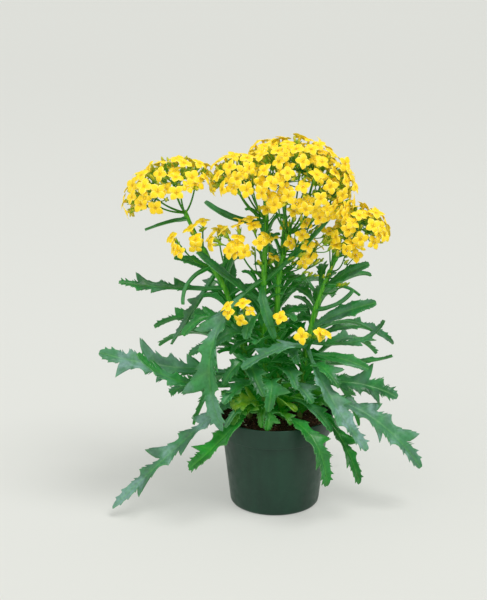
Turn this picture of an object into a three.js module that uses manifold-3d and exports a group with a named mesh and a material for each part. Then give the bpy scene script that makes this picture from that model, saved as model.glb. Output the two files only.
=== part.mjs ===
// A flowering kalanchoe with cut, toothed leaves and yellow four-petalled blooms, in a round nursery pot.
// Millimetres, +Z up. The origin is the middle of the pot's flat underside, and the plant's front faces -Y.
// The pot holds a body of potting soil. Seven leafy stems stand in plain holes in the soil. Each stem carries
// its own leaves and the bare green rays of its flower heads, and each ray ends under one yellow cyme.
import * as THREE from "three";
import { mergeVertices } from "three/addons/utils/BufferGeometryUtils.js";
import Module from "manifold-3d";

const wasm = await Module();
wasm.setup();

const GAP = 0.4; // clear space between pieces that touch on the real plant
const JOIN_SLIVER = 0.1; // edges left by a join that are shorter than this are merged

// Pot: a thin-walled tapered nursery pot with a plain collar.
const POT_HEIGHT = 98;
const POT_RIM_RADIUS = 60;
const POT_COLLAR_DROP = 21;
const POT_COLLAR_RADIUS = 56.8;
const POT_NECK_RADIUS = 53.6;
const POT_FOOT_RADIUS = 45;
const POT_FOOT_ROUND = 5;
const POT_WALL = 1.6;
const POT_FLOOR = 2.2;
const POT_LIP_ROUND = 0.6;
const POT_SEGMENTS = 28;
const DRAIN_RADIUS = 4;
const DRAIN_CIRCLE_RADIUS = 31;
const DRAIN_COUNT = 4;

// Soil: fills the pot to a little under the rim.
const SOIL_TOP = 89;
const SOIL_SWELL = 1;
const SOIL_EDGE_DROP = 2;
const SOIL_RINGS = [11, 22, 34, 46];
const SOIL_SEGMENTS = 18;

// Stems: where their feet end in the soil, and how finely the round ones are made.
const STEM_FOOT = 74;
const STEM_STEPS = 6;
const STEM_SIDES = 6;

// Leaves: one thin blade, folded along its rib. Long lobes and short teeth take turns down both sides, and both
// point forwards. What stands out or leans is given as the least, and as the share that a draw adds.
const BLADE_RIB = 1.8;
const PETIOLE_SHARE = 0.14;
const PETIOLE_HALF_WIDTH = 1.6;
const TIP_HALF_WIDTH = 1.2;
const FOLD = THREE.MathUtils.degToRad(14);
const LAST_TOOTH = 0.86;
const END_LOBE = 0.78; // how wide the lobe at the tip is, where the last tooth would be
const LOBE = { out: [0.7, 0.9], forward: [1.1, 0.7] }; // out at a cut of 1, and forward in tooth spacings
const TOOTH = { out: [0.1, 0.3], forward: [0.4, 0.4] };
const NOTCH_IN = [0.22, 0.3]; // how far a notch runs in at a cut of 1
const STAGGER = 0.45; // how far one side's teeth stand ahead of the other's, in tooth spacings
const TOOTH_WAVE = 3; // how far teeth bend up or down, from the highest to the lowest

// Blooms: four pointed petals on a short tube.
const BLOOM_RADIUS = 8.7;
const PETAL_SHOULDER = 0.66;
const PETAL_SHOULDER_TURN = THREE.MathUtils.degToRad(24);
const PETAL_NOTCH = 0.27;
const PETAL_ARCH = 0.7;
const PETAL_DROOP = [0.3, 0.4]; // how far the shoulders and the notches lie under the petal's tip
const PEDICEL_RADIUS = 0.6;
const PEDICEL_START = 0.5;

// Flower heads: hubs where the pedicels of a cyme meet, and the rays that carry them.
const HUB_RADIUS = 2.6;
const RAY_RADII = [1.3, 1];
const RAY_BEND = 0.6; // where along its way a ray turns up
const RAY_RISE = 0.3; // the share of its rise that it has by then
const BLOOM_SPACING = 14.6;
const SPREADING_ROUNDS = 40;
const BLOOM_SWELL = [0.96, 1.03]; // how deep every other bloom stands in its head
const BLOOM_LEAN = 0.66;
const HEAD_HUB_SHARE = 0.74;
const SPRAY_HUB_SHARE = 0.72;
const GOLDEN_TURN = Math.PI * (3 - Math.sqrt(5));

const FRONT_AXIS = new THREE.Vector3(0, 1, 0);
const UPWARD = new THREE.Vector3(0, 0, 0.1);
const NUDGE = new THREE.Vector3(0, 1e-3, 0); // keeps a side direction defined on an upright stem
const vec = (p) => new THREE.Vector3(...p);

// A repeatable draw from 0 to 1 for each whole-number seed.
function draw(seed) {
  const x = Math.sin(seed * 12.9898 + 4.1414) * 43758.5453;
  return x - Math.floor(x);
}

function solidOf(points, triangles) {
  return new wasm.Manifold(
    new wasm.Mesh({
      numProp: 3,
      vertProperties: new Float32Array(points.flatMap((p) => [p.x, p.y, p.z])),
      triVerts: new Uint32Array(triangles.flat()),
    }),
  );
}

// Joins solids that grow from each other, and drops the slivers that the joins leave.
function joined(solids) {
  return wasm.Manifold.union(solids).asOriginal().simplify(JOIN_SLIVER);
}

function geometryOf(solid) {
  const mesh = solid.getMesh();
  const geometry = new THREE.BufferGeometry();
  geometry.setAttribute("position", new THREE.BufferAttribute(new Float32Array(mesh.vertProperties), 3));
  geometry.setIndex(new THREE.BufferAttribute(new Uint32Array(mesh.triVerts), 1));
  geometry.computeVertexNormals();
  return geometry;
}

// A closed skin through rings of equal count. Each ring runs anticlockwise when seen from ahead of the route.
// turned(k) picks the other diagonal for side k.
function loft(rings, turned = () => false) {
  const count = rings[0].length;
  const triangles = [];
  for (let i = 0; i + 1 < rings.length; i++)
    for (let k = 0; k < count; k++) {
      const next = (k + 1) % count;
      const [a, b] = [i * count + k, i * count + next];
      const [c, d] = [a + count, b + count];
      if (turned(k)) triangles.push([a, b, c], [b, d, c]);
      else triangles.push([a, b, d], [a, d, c]);
    }
  const last = (rings.length - 1) * count;
  for (let k = 1; k + 1 < count; k++) triangles.push([0, k + 1, k], [last, last + k, last + k + 1]);
  return solidOf(rings.flat(), triangles);
}

// A tapered round stem along a curve.
function tube(curve, steps, sides, startRadius, endRadius) {
  const rings = [];
  for (let i = 0; i <= steps; i++) {
    const at = curve.getPointAt(i / steps);
    const ahead = curve.getTangentAt(i / steps);
    const side = new THREE.Vector3(ahead.z, 0, -ahead.x).add(NUDGE).cross(ahead).normalize();
    const across = ahead.clone().cross(side);
    const radius = THREE.MathUtils.lerp(startRadius, endRadius, i / steps);
    rings.push(
      Array.from({ length: sides }, (_, k) => {
        const turn = (2 * Math.PI * k) / sides;
        return at
          .clone()
          .addScaledVector(side, radius * Math.cos(turn))
          .addScaledVector(across, radius * Math.sin(turn));
      }),
    );
  }
  return loft(rings);
}

// The point of a route at a given height. Stems never turn down, so there is one.
function atHeight(curve, height) {
  let [low, high] = [0, 1];
  for (let i = 0; i < 40; i++) {
    const middle = (low + high) / 2;
    if (curve.getPoint(middle).z < height) low = middle;
    else high = middle;
  }
  return curve.getPoint((low + high) / 2);
}

// Half-width of the blade at q, from 0 at the end of the petiole to 1 at the tip. It is widest at peak.
function bladeShape(q, peak, blunt) {
  const even = Math.pow(q, Math.log(0.5) / Math.log(peak));
  return Math.pow(Math.max(0, 4 * even * (1 - even)), blunt);
}

// One leaf. Its rib is an arc from the stem, through via, to the tip.
function leaf(stem, index, spec) {
  const { z, via, tip, width, teeth = 8, cut = 0.5, roll = 0, twist = 0, peak = 0.55, blunt = 0.6 } = spec;
  const base = atHeight(stem.curve, z);
  const end = vec(tip);
  const bend = vec(via).multiplyScalar(2).sub(base.clone().add(end).multiplyScalar(0.5));
  const rib = new THREE.QuadraticBezierCurve3(base, bend, end);
  const heading = end.clone().sub(base).setZ(0).normalize();
  const level = new THREE.Vector3(heading.y, -heading.x, 0);
  const length = base.distanceTo(vec(via)) + vec(via).distanceTo(end);
  const spacing = (length * (LAST_TOOTH - PETIOLE_SHARE)) / teeth;
  const stations = [{ s: 0 }, { s: PETIOLE_SHARE }];
  for (let i = 0; i < teeth; i++) {
    const s = THREE.MathUtils.lerp(PETIOLE_SHARE, LAST_TOOTH, (i + 1) / teeth);
    const seed = stem.seed * 1000 + index * 40 + 2 * i;
    const isEnd = i === teeth - 1;
    stations.push({ s, seed, isEnd, isTooth: i % 2 === 1 && !isEnd, isNotch: i % 2 === 0, pair: (i - 1) / 2 });
  }
  stations.push({ s: 1, isTip: true });
  const lean = spacing * Math.min(1, cut);
  const rings = stations.map(({ s, isEnd, isTooth, isNotch, isTip, seed, pair }) => {
    const at = rib.getPoint(s);
    const ahead = rib.getTangent(s);
    const up = level.clone().cross(ahead).normalize();
    const side = ahead.clone().cross(up);
    const turn = THREE.MathUtils.degToRad(roll + twist * s);
    const across = side.clone().multiplyScalar(Math.cos(turn)).addScaledVector(up, Math.sin(turn));
    const face = up.clone().multiplyScalar(Math.cos(turn)).addScaledVector(side, -Math.sin(turn));
    const q = Math.max(0, (s - PETIOLE_SHARE) / (1 - PETIOLE_SHARE));
    const shape = bladeShape(q, peak, blunt);
    const half = isTip ? TIP_HALF_WIDTH : PETIOLE_HALF_WIDTH + (width - PETIOLE_HALF_WIDTH) * shape;
    const edge = [1, -1].map((sign, which) => {
      const point = at.clone();
      let grow = isEnd ? END_LOBE : 1;
      const [first, second, third] = [0, 0.3, 0.6].map((part) => draw(seed + which + part));
      if (isNotch || isTooth) point.addScaledVector(ahead, lean * STAGGER * which);
      if (isNotch) grow -= cut * (NOTCH_IN[0] + NOTCH_IN[1] * first);
      if (isTooth) {
        const { out, forward } = (pair + which) % 2 === 0 ? LOBE : TOOTH;
        grow += cut * (out[0] + out[1] * first);
        point.addScaledVector(ahead, lean * (forward[0] + forward[1] * second));
        point.addScaledVector(face, TOOTH_WAVE * cut * (third - 0.5));
      }
      point.addScaledVector(across, sign * half * grow * Math.cos(FOLD));
      return point.addScaledVector(face, half * grow * Math.sin(FOLD));
    });
    return [edge[1], at, edge[0], at.clone().addScaledVector(face, -BLADE_RIB)];
  });
  // Both faces are split from the rib to the next tooth or notch.
  return loft(rings, (k) => k % 2 === 0);
}

// One bloom: four petals, each arched along its middle, over a tube that narrows down to the pedicel's foot.
function bloom(centre, face, foot, spin) {
  const east = new THREE.Vector3(face.y, -face.x, 1e-3).cross(face).normalize();
  const north = face.clone().cross(east);
  const place = (radius, turn, height) =>
    centre
      .clone()
      .addScaledVector(east, radius * Math.cos(turn))
      .addScaledVector(north, radius * Math.sin(turn))
      .addScaledVector(face, height);
  const shoulder = BLOOM_RADIUS * PETAL_SHOULDER;
  const points = [place(0, 0, PETAL_ARCH)];
  const triangles = [];
  for (let petal = 0; petal < 4; petal++) {
    const turn = spin + (petal * Math.PI) / 2;
    const notch = points.length;
    const nextNotch = petal < 3 ? notch + 4 : 1;
    points.push(
      place(BLOOM_RADIUS * PETAL_NOTCH, turn - Math.PI / 4, -PETAL_DROOP[1]),
      place(shoulder, turn - PETAL_SHOULDER_TURN, -PETAL_DROOP[0]),
      place(BLOOM_RADIUS, turn, 0),
      place(shoulder, turn + PETAL_SHOULDER_TURN, -PETAL_DROOP[0]),
    );
    const [low, tip, high] = [notch + 1, notch + 2, notch + 3];
    const outline = [notch, low, tip, high, nextNotch];
    for (let k = 0; k < 4; k++) triangles.push([0, outline[k], outline[k + 1]]);
    triangles.push([low, high, tip], [notch, high, low], [notch, nextNotch, high]);
  }
  const along = centre.clone().sub(foot).normalize();
  const first = east.clone().addScaledVector(along, -east.dot(along)).normalize();
  const second = along.clone().cross(first);
  for (let k = 0; k < 3; k++) {
    const turn = spin - Math.PI / 4 + (2 * Math.PI * k) / 3;
    points.push(
      foot
        .clone()
        .addScaledVector(first, PEDICEL_RADIUS * Math.cos(turn))
        .addScaledVector(second, PEDICEL_RADIUS * Math.sin(turn)),
    );
  }
  // The four notches close on the three points of the foot.
  const [a, b, c] = [17, 18, 19];
  triangles.push([1, a, 5], [5, a, b], [5, b, 9], [9, b, c], [9, c, 13], [13, c, a], [13, a, 1]);
  triangles.push([a, c, b]);
  return solidOf(points, triangles);
}

// Stems: route from the foot in the soil to the topmost node, with the radius at both ends. Each leaf leaves
// its stem at height z. cut is the depth of its teeth, and roll tips its blade about its rib, in degrees.
const stems = {
  centre: {
    seed: 1,
    radii: [4.6, 1.8],
    route: [[-8, -6, STEM_FOOT], [-10, -5, 113], [-12, -2, 170], [-12, 0, 233], [-10, 0, 296], [-11, 0, 317]],
    leaves: [
      { z: 124, via: [-51, -59, 93], tip: [-86, -72, 64], width: 10.5, cut: 0.6, teeth: 8 },
      { z: 103, via: [34, -64, 95], tip: [50, -70, 44], width: 9.5, cut: 0.7, teeth: 8 },
      { z: 238, via: [-62, -45, 186], tip: [-53, -66, 101], width: 11.5, cut: 1.1, teeth: 8, peak: 0.6 },
      { z: 214, via: [-43, -16, 240], tip: [-77, -24, 272], width: 7, cut: 0.25, teeth: 6, roll: 35 },
      { z: 232, via: [-12, -21, 217], tip: [-1, -28, 184], width: 5.5, cut: 0.3, teeth: 6 },
      { z: 297, via: [-40, -10, 302], tip: [-69, -18, 321], width: 4.2, cut: 0, teeth: 4, roll: 50 },
      { z: 235, via: [22, -14, 270], tip: [51, -22, 305], width: 4.5, cut: 0.2, teeth: 6, roll: -40 },
      { z: 128, via: [-32, -34, 138], tip: [-52, -56, 126], width: 8, cut: 0.9, teeth: 6 },
      { z: 107, via: [-30, -38, 120], tip: [-50, -63, 104], width: 5.5, cut: 0.6, teeth: 6 },
      { z: 150, via: [-24, -34, 160], tip: [-12, -62, 136], width: 8, cut: 0.8, teeth: 6 },
      { z: 172, via: [-38, -26, 190], tip: [-62, -38, 180], width: 8, cut: 0.8, teeth: 6, roll: 20 },
      { z: 190, via: [-22, -22, 206], tip: [-30, -36, 186], width: 8, cut: 0.6, teeth: 4 },
      { z: 140, via: [-32, -30, 161], tip: [-52, -44, 141], width: 7, cut: 0.8, teeth: 6, roll: 15 },
      { z: 124, via: [-4, -38, 142], tip: [-8, -58, 118], width: 8, cut: 0.9, teeth: 6 },
      { z: 160, via: [-27, -14, 178], tip: [-46, -22, 166], width: 7, cut: 0.8, teeth: 4 },
      { z: 204, via: [-26, 12, 216], tip: [-38, 24, 206], width: 7, cut: 0.6, teeth: 4 },
    ],
  },
  middle: {
    seed: 2,
    radii: [3.4, 2.2],
    route: [[10, -2, STEM_FOOT], [4, 3, 129], [2, 4, 182], [3, 2, 235], [9, 0, 268], [13, 0, 290]],
    leaves: [
      { z: 108, via: [30, -34, 118], tip: [55, -58, 97], width: 6.5, cut: 0.6, teeth: 6 },
      { z: 136, via: [12, -24, 150], tip: [20, -48, 138], width: 7, cut: 0.5, teeth: 6 },
      { z: 170, via: [22, 18, 188], tip: [46, 28, 182], width: 8, cut: 0.7, teeth: 6 },
      { z: 190, via: [12, -20, 206], tip: [18, -38, 206], width: 5.5, cut: 0.4, teeth: 4 },
      { z: 156, via: [14, -14, 166], tip: [21, -30, 158], width: 7, cut: 0.8, teeth: 4 },
      { z: 204, via: [-2, 18, 218], tip: [-8, 28, 214], width: 7, cut: 0.6, teeth: 4 },
      { z: 122, via: [18, -30, 138], tip: [36, -50, 124], width: 8, cut: 0.9, teeth: 6 },
    ],
  },
  right: {
    seed: 3,
    radii: [2.9, 1.7],
    route: [[24, 2, STEM_FOOT], [29, 0, 141], [37, 0, 194], [46, 0, 225], [61, -2, 263]],
    leaves: [
      { z: 117, via: [62, -42, 89], tip: [84, -50, 38], width: 8, cut: 0.9, teeth: 8 },
      { z: 118, via: [94, -18, 99], tip: [147, -28, 46], width: 12, cut: 0.9, teeth: 10, roll: -30 },
      { z: 166, via: [53, -45, 130], tip: [90, -64, 80], width: 10.5, cut: 0.6, teeth: 8 },
      { z: 126, via: [82, 2, 126], tip: [124, -2, 112], width: 10.5, cut: 0.9, teeth: 8, roll: -45 },
      { z: 158, via: [64, -13, 158], tip: [93, -20, 149], width: 6.5, cut: 0.25, teeth: 6, roll: -40 },
      { z: 186, via: [64, -12, 205], tip: [99, -18, 218], width: 8.5, cut: 0.25, teeth: 8, roll: -45 },
      { z: 228, via: [69, 3, 241], tip: [93, 6, 251], width: 6, cut: 0.25, teeth: 6, roll: -45 },
      { z: 172, via: [84, 6, 170], tip: [109, 8, 191], width: 4, cut: 0.8, teeth: 6, roll: -30 },
      { z: 148, via: [84, 10, 146], tip: [118, 6, 154], width: 3.2, cut: 0.3, teeth: 6, roll: -25 },
      { z: 182, via: [72, 17, 188], tip: [101, 22, 174], width: 3, cut: 0, teeth: 4 },
      { z: 232, via: [68, -6, 232], tip: [84, -8, 223], width: 2.2, cut: 0, teeth: 4 },
      { z: 142, via: [44, -24, 154], tip: [62, -44, 138], width: 7.5, cut: 0.9, teeth: 6 },
      { z: 168, via: [4, -40, 178], tip: [-34, -51, 161], width: 9, cut: 0.7, teeth: 8 },
      { z: 206, via: [62, -12, 216], tip: [76, -18, 232], width: 3.5, cut: 0.2, teeth: 4, roll: -30 },
    ],
  },
  left: {
    seed: 4,
    radii: [3.3, 1.7],
    route: [
      [-25, 2, STEM_FOOT], [-29, 3, 138], [-36, 3, 182], [-50, 2, 225],
      [-65, 0, 254], [-82, 0, 289], [-90, 0, 307],
    ],
    leaves: [
      { z: 138, via: [-110, -13, 150], tip: [-176, -15, 165], width: 11.5, cut: 1, teeth: 10, roll: 45 },
      { z: 228, via: [-110, -5, 230], tip: [-155, -10, 237], width: 7.5, cut: 0.9, teeth: 8, roll: 25 },
      { z: 246, via: [-74, 14, 215], tip: [-106, 17, 163], width: 7.5, cut: 0.9, teeth: 10, roll: 35 },
      { z: 126, via: [-95, -30, 140], tip: [-136, -38, 172], width: 7.5, cut: 0.8, teeth: 8, roll: 30 },
      { z: 122, via: [-79, 8, 122], tip: [-107, 12, 111], width: 7, cut: 0.9, teeth: 8, roll: 40 },
      { z: 124, via: [-94, -30, 74], tip: [-164, -46, 10], width: 9, cut: 1.1, teeth: 10, roll: 20 },
      { z: 300, via: [-108, -7, 297], tip: [-128, -15, 292], width: 2.2, cut: 0, teeth: 4, roll: 30 },
      { z: 252, via: [-86, -12, 238], tip: [-92, -18, 216], width: 3, cut: 0, teeth: 4 },
      { z: 240, via: [-80, 4, 253], tip: [-101, 6, 257], width: 5, cut: 0.3, teeth: 4, roll: 40 },
      { z: 132, via: [-71, -8, 142], tip: [-109, -14, 145], width: 5.5, cut: 0.9, teeth: 6, roll: 35 },
      { z: 205, via: [-46, 18, 232], tip: [-48, 26, 258], width: 7.5, cut: 0.3, teeth: 6 },
      { z: 104, via: [-42, -14, 114], tip: [-60, -28, 104], width: 6.5, cut: 0.5, teeth: 6, roll: 20 },
      { z: 160, via: [-58, -14, 174], tip: [-86, -26, 166], width: 6.5, cut: 0.8, teeth: 6, roll: 20 },
      { z: 184, via: [-66, -14, 202], tip: [-92, -24, 186], width: 7, cut: 0.9, teeth: 6, roll: 20 },
    ],
  },
  back: {
    seed: 5,
    radii: [3.2, 1.9],
    route: [[1, 24, STEM_FOOT], [-2, 27, 150], [4, 31, 226], [10, 38, 292]],
    leaves: [
      { z: 118, via: [8, 78, 142], tip: [14, 138, 112], width: 9, cut: 0.8, teeth: 8 },
      { z: 162, via: [-8, 70, 188], tip: [-18, 118, 172], width: 8.5, cut: 0.6, teeth: 8 },
      { z: 196, via: [30, 64, 214], tip: [54, 92, 206], width: 7, cut: 0.6, teeth: 8 },
      { z: 230, via: [-6, 58, 252], tip: [-18, 84, 250], width: 5.5, cut: 0.3, teeth: 6 },
      { z: 100, via: [10, 68, 112], tip: [18, 112, 52], width: 7.5, cut: 0.9, teeth: 8 },
      { z: 140, via: [14, 50, 156], tip: [26, 70, 146], width: 6.5, cut: 0.5, teeth: 6 },
    ],
  },
  back_left: {
    seed: 6,
    radii: [3, 1.7],
    route: [[-17, 19, STEM_FOOT], [-27, 32, 140], [-40, 46, 196], [-52, 56, 240]],
    leaves: [
      { z: 104, via: [-52, 58, 116], tip: [-86, 92, 46], width: 7.5, cut: 0.9, teeth: 8 },
      { z: 130, via: [-72, 72, 156], tip: [-122, 98, 134], width: 9, cut: 0.8, teeth: 8 },
      { z: 160, via: [-76, 48, 182], tip: [-124, 50, 170], width: 7.5, cut: 0.7, teeth: 8, roll: 20 },
      { z: 190, via: [-56, 82, 208], tip: [-66, 118, 190], width: 7, cut: 0.6, teeth: 8 },
      { z: 218, via: [-72, 66, 232], tip: [-94, 78, 232], width: 4.5, cut: 0.3, teeth: 6 },
    ],
  },
  back_right: {
    seed: 7,
    radii: [3, 1.7],
    route: [[18, 19, STEM_FOOT], [30, 32, 140], [43, 46, 190], [56, 54, 230]],
    leaves: [
      { z: 102, via: [58, 56, 114], tip: [92, 84, 48], width: 7.5, cut: 0.9, teeth: 8 },
      { z: 128, via: [72, 72, 150], tip: [110, 106, 122], width: 9, cut: 0.8, teeth: 8 },
      { z: 156, via: [80, 48, 172], tip: [124, 56, 150], width: 7.5, cut: 0.7, teeth: 8, roll: -20 },
      { z: 186, via: [56, 86, 200], tip: [62, 116, 182], width: 7, cut: 0.6, teeth: 8 },
      { z: 208, via: [80, 62, 222], tip: [100, 70, 220], width: 4.5, cut: 0.3, teeth: 6 },
    ],
  },
};
for (const stem of Object.values(stems)) stem.curve = new THREE.CatmullRomCurve3(stem.route.map(vec));

function stalk({ curve, radii }) {
  return tube(curve, STEM_STEPS, STEM_SIDES, ...radii);
}

// Flower heads. Blooms stand on the upper part of an egg-shaped dome with its middle at centre and half-sizes
// reach, whose left side is tipped down by tilt, in degrees. floor is the cosine of the widest angle from the
// dome's top that still carries blooms. Rays leave the stem at height from.
const heads = [
  {
    name: "crown", stem: "middle", from: 284, blooms: 67, cymes: 13,
    centre: [21, -4, 329], reach: [55, 44, 50], floor: -0.3, tilt: -14,
  },
  {
    name: "left_wing", stem: "centre", from: 300, blooms: 22, cymes: 5,
    centre: [-34, -6, 333], reach: [33, 30, 33], floor: 0, tilt: 10,
  },
  {
    name: "rear_crown", stem: "back", from: 288, blooms: 20, cymes: 4,
    centre: [2, 48, 328], reach: [38, 30, 40], floor: -0.15, tilt: 0,
  },
  {
    name: "left_head", stem: "left", from: 305, blooms: 34, cymes: 7,
    centre: [-104, 0, 323], reach: [46, 36, 35], floor: 0, tilt: 25,
  },
  {
    name: "right_head", stem: "right", from: 260, blooms: 24, cymes: 5,
    centre: [82, -4, 285], reach: [29, 28, 29], floor: -0.35, tilt: 15,
  },
];

// Small side sprays: where each leaves its stem, and where its few blooms stand.
const sprays = [
  { name: "left_spray_low", stem: "left", from: 250, blooms: [[-100, -27, 276], [-102, -18, 285]] },
  { name: "left_spray_middle", stem: "left", from: 262, blooms: [[-79, -22, 284], [-84, -14, 293]] },
  { name: "left_spray_high", stem: "left", from: 268, blooms: [[-72, -10, 299]] },
  {
    name: "inner_spray_left",
    stem: "centre",
    from: 240,
    blooms: [
      [-64, -22, 287], [-53, -22, 292], [-38, -23, 299], [-37, -28, 288], [-46, -34, 276], [-31, -34, 275],
    ],
  },
  { name: "inner_spray_right", stem: "centre", from: 252, blooms: [[-22, -24, 299], [-16, -34, 284]] },
  {
    name: "low_spray_left", stem: "centre", from: 184,
    blooms: [[-35, -46, 209], [-33, -38, 224], [-48, -38, 221]],
  },
  { name: "low_spray_middle", stem: "middle", from: 184, blooms: [[4, -34, 208]] },
  { name: "low_spray_right", stem: "right", from: 172, blooms: [[25, -38, 190], [43, -38, 192]] },
  { name: "skirt_spray", stem: "middle", from: 240, blooms: [[42, 12, 270], [28, 16, 266], [33, -12, 264]] },
  {
    name: "rear_spray_left", stem: "back_left", from: 234,
    blooms: [[-66, 66, 262], [-52, 72, 268]],
  },
  {
    name: "rear_spray_right", stem: "back_right", from: 226,
    blooms: [[68, 62, 254], [56, 72, 258]],
  },
];

function domePoint(head, share, turn) {
  const rise = 1 - (1 - head.floor) * share;
  const flat = Math.sqrt(Math.max(0, 1 - rise * rise));
  const way = new THREE.Vector3(flat * Math.cos(turn), flat * Math.sin(turn), rise);
  return tipped(way.multiply(vec(head.reach)), head.tilt).add(vec(head.centre));
}

function tipped(way, degrees) {
  return way.applyAxisAngle(FRONT_AXIS, THREE.MathUtils.degToRad(-degrees));
}

function spiral(head, count, phase) {
  return Array.from({ length: count }, (_, i) =>
    domePoint(head, (i + 0.5) / count, i * GOLDEN_TURN + phase),
  );
}

// How far a point lies from a head's middle, where 1 is on its dome.
function depthIn(head, point) {
  return tipped(point.clone().sub(vec(head.centre)), -head.tilt).divide(vec(head.reach)).length();
}

// Spreads all blooms over their domes until neighbours stand clear of each other.
function placeBlooms() {
  const blooms = heads.flatMap((head, h) =>
    spiral(head, head.blooms, h)
      .filter((at) => heads.every((other) => other === head || depthIn(other, at) > 1))
      .map((at, i) => ({ head, at, swell: BLOOM_SWELL[i % 2], seed: h * 100 + i })),
  );
  for (let round = 0; round < SPREADING_ROUNDS; round++) {
    for (let i = 0; i < blooms.length; i++)
      for (let j = i + 1; j < blooms.length; j++) {
        const apart = blooms[i].at.clone().sub(blooms[j].at);
        const lack = BLOOM_SPACING - apart.length();
        if (lack <= 0) continue;
        apart.setLength(lack / 4);
        blooms[i].at.add(apart);
        blooms[j].at.sub(apart);
      }
    for (const { head, at, swell } of blooms) {
      const centre = vec(head.centre);
      at.lerpVectors(centre, at, swell / depthIn(head, at));
    }
  }
  for (const bloom of blooms) {
    const { head, at } = bloom;
    const level = tipped(at.clone().sub(vec(head.centre)), -head.tilt);
    bloom.out = tipped(level.divide(vec(head.reach)).divide(vec(head.reach)).normalize(), head.tilt);
  }
  return blooms;
}

// Splits a head's blooms among its cymes. Pedicels part at each cyme's hub.
function cymesOf(head, blooms) {
  const middles = spiral(head, head.cymes, 0.7);
  return middles
    .map((middle) =>
      blooms.filter(({ at }) => middles.every((other) => at.distanceTo(middle) <= at.distanceTo(other))),
    )
    .filter((own) => own.length > 0)
    .map((own, c) => cyme(head.name + "_cyme_" + (c + 1), head, own, HEAD_HUB_SHARE));
}

// A spray's blooms face out from its hub.
function sprayOf(spray, s) {
  const own = spray.blooms.map((at, i) => ({ at: vec(at), seed: 900 + 10 * s + i }));
  const made = cyme(spray.name, spray, own, SPRAY_HUB_SHARE);
  for (const flower of own) flower.out = flower.at.clone().sub(made.hub).normalize();
  return made;
}

function cyme(name, { stem, from }, own, hubShare) {
  const start = atHeight(stems[stem].curve, from);
  const mean = own.reduce((sum, { at }) => sum.add(at), new THREE.Vector3()).divideScalar(own.length);
  return { name, stem, start, hub: start.clone().lerp(mean, hubShare), own };
}

// A ray leaves the stem sideways and curves up to its hub.
function rayCurve({ start, hub }) {
  const out = hub.clone().sub(start);
  const bend = start.clone().add(new THREE.Vector3(out.x, out.y, out.z * RAY_RISE).multiplyScalar(RAY_BEND));
  return new THREE.QuadraticBezierCurve3(start, bend, hub);
}

function raySolid(cyme) {
  const curve = rayCurve(cyme);
  const share = 1 - (HUB_RADIUS + GAP) / curve.getLength();
  const short = new THREE.CatmullRomCurve3([0, 1 / 3, 2 / 3, 1].map((u) => curve.getPointAt(u * share)));
  return tube(short, 3, 3, ...RAY_RADII);
}

function cymeSolid({ hub, own }) {
  const knot = geometrySolid(new THREE.OctahedronGeometry(HUB_RADIUS)).translate([hub.x, hub.y, hub.z]);
  const flowers = own.map(({ at, out, seed }) => {
    const lean = new THREE.Vector3(draw(seed) - 0.5, draw(seed + 0.3) - 0.5, draw(seed + 0.6) - 0.5);
    const face = out.clone().add(UPWARD).addScaledVector(lean, BLOOM_LEAN).normalize();
    const foot = hub.clone().add(at.clone().sub(hub).setLength(PEDICEL_START));
    return bloom(at, face, foot, draw(seed + 0.9) * Math.PI);
  });
  return joined([knot, ...flowers]);
}

// A solid from a closed geometry whose faces may not share their corners yet.
function geometrySolid(geometry) {
  geometry.deleteAttribute("normal");
  geometry.deleteAttribute("uv");
  const merged = mergeVertices(geometry, 1e-4);
  const corners = merged.attributes.position;
  const points = Array.from({ length: corners.count }, (_, i) =>
    new THREE.Vector3().fromBufferAttribute(corners, i),
  );
  const triangles = [];
  for (let i = 0; i < merged.index.count; i += 3) {
    const [a, b, c] = merged.index.array.slice(i, i + 3);
    if (a !== b && b !== c && a !== c) triangles.push([a, b, c]);
  }
  return solidOf(points, triangles);
}

function upright(geometry) {
  return geometry.rotateX(Math.PI / 2);
}

const COLLAR_FOOT = POT_HEIGHT - POT_COLLAR_DROP;
const wallRadius = (z) => THREE.MathUtils.mapLinear(z, 0, COLLAR_FOOT, POT_FOOT_RADIUS, POT_NECK_RADIUS);
const collarRadius = (z) =>
  THREE.MathUtils.mapLinear(z, COLLAR_FOOT, POT_HEIGHT, POT_COLLAR_RADIUS, POT_RIM_RADIUS);

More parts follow.
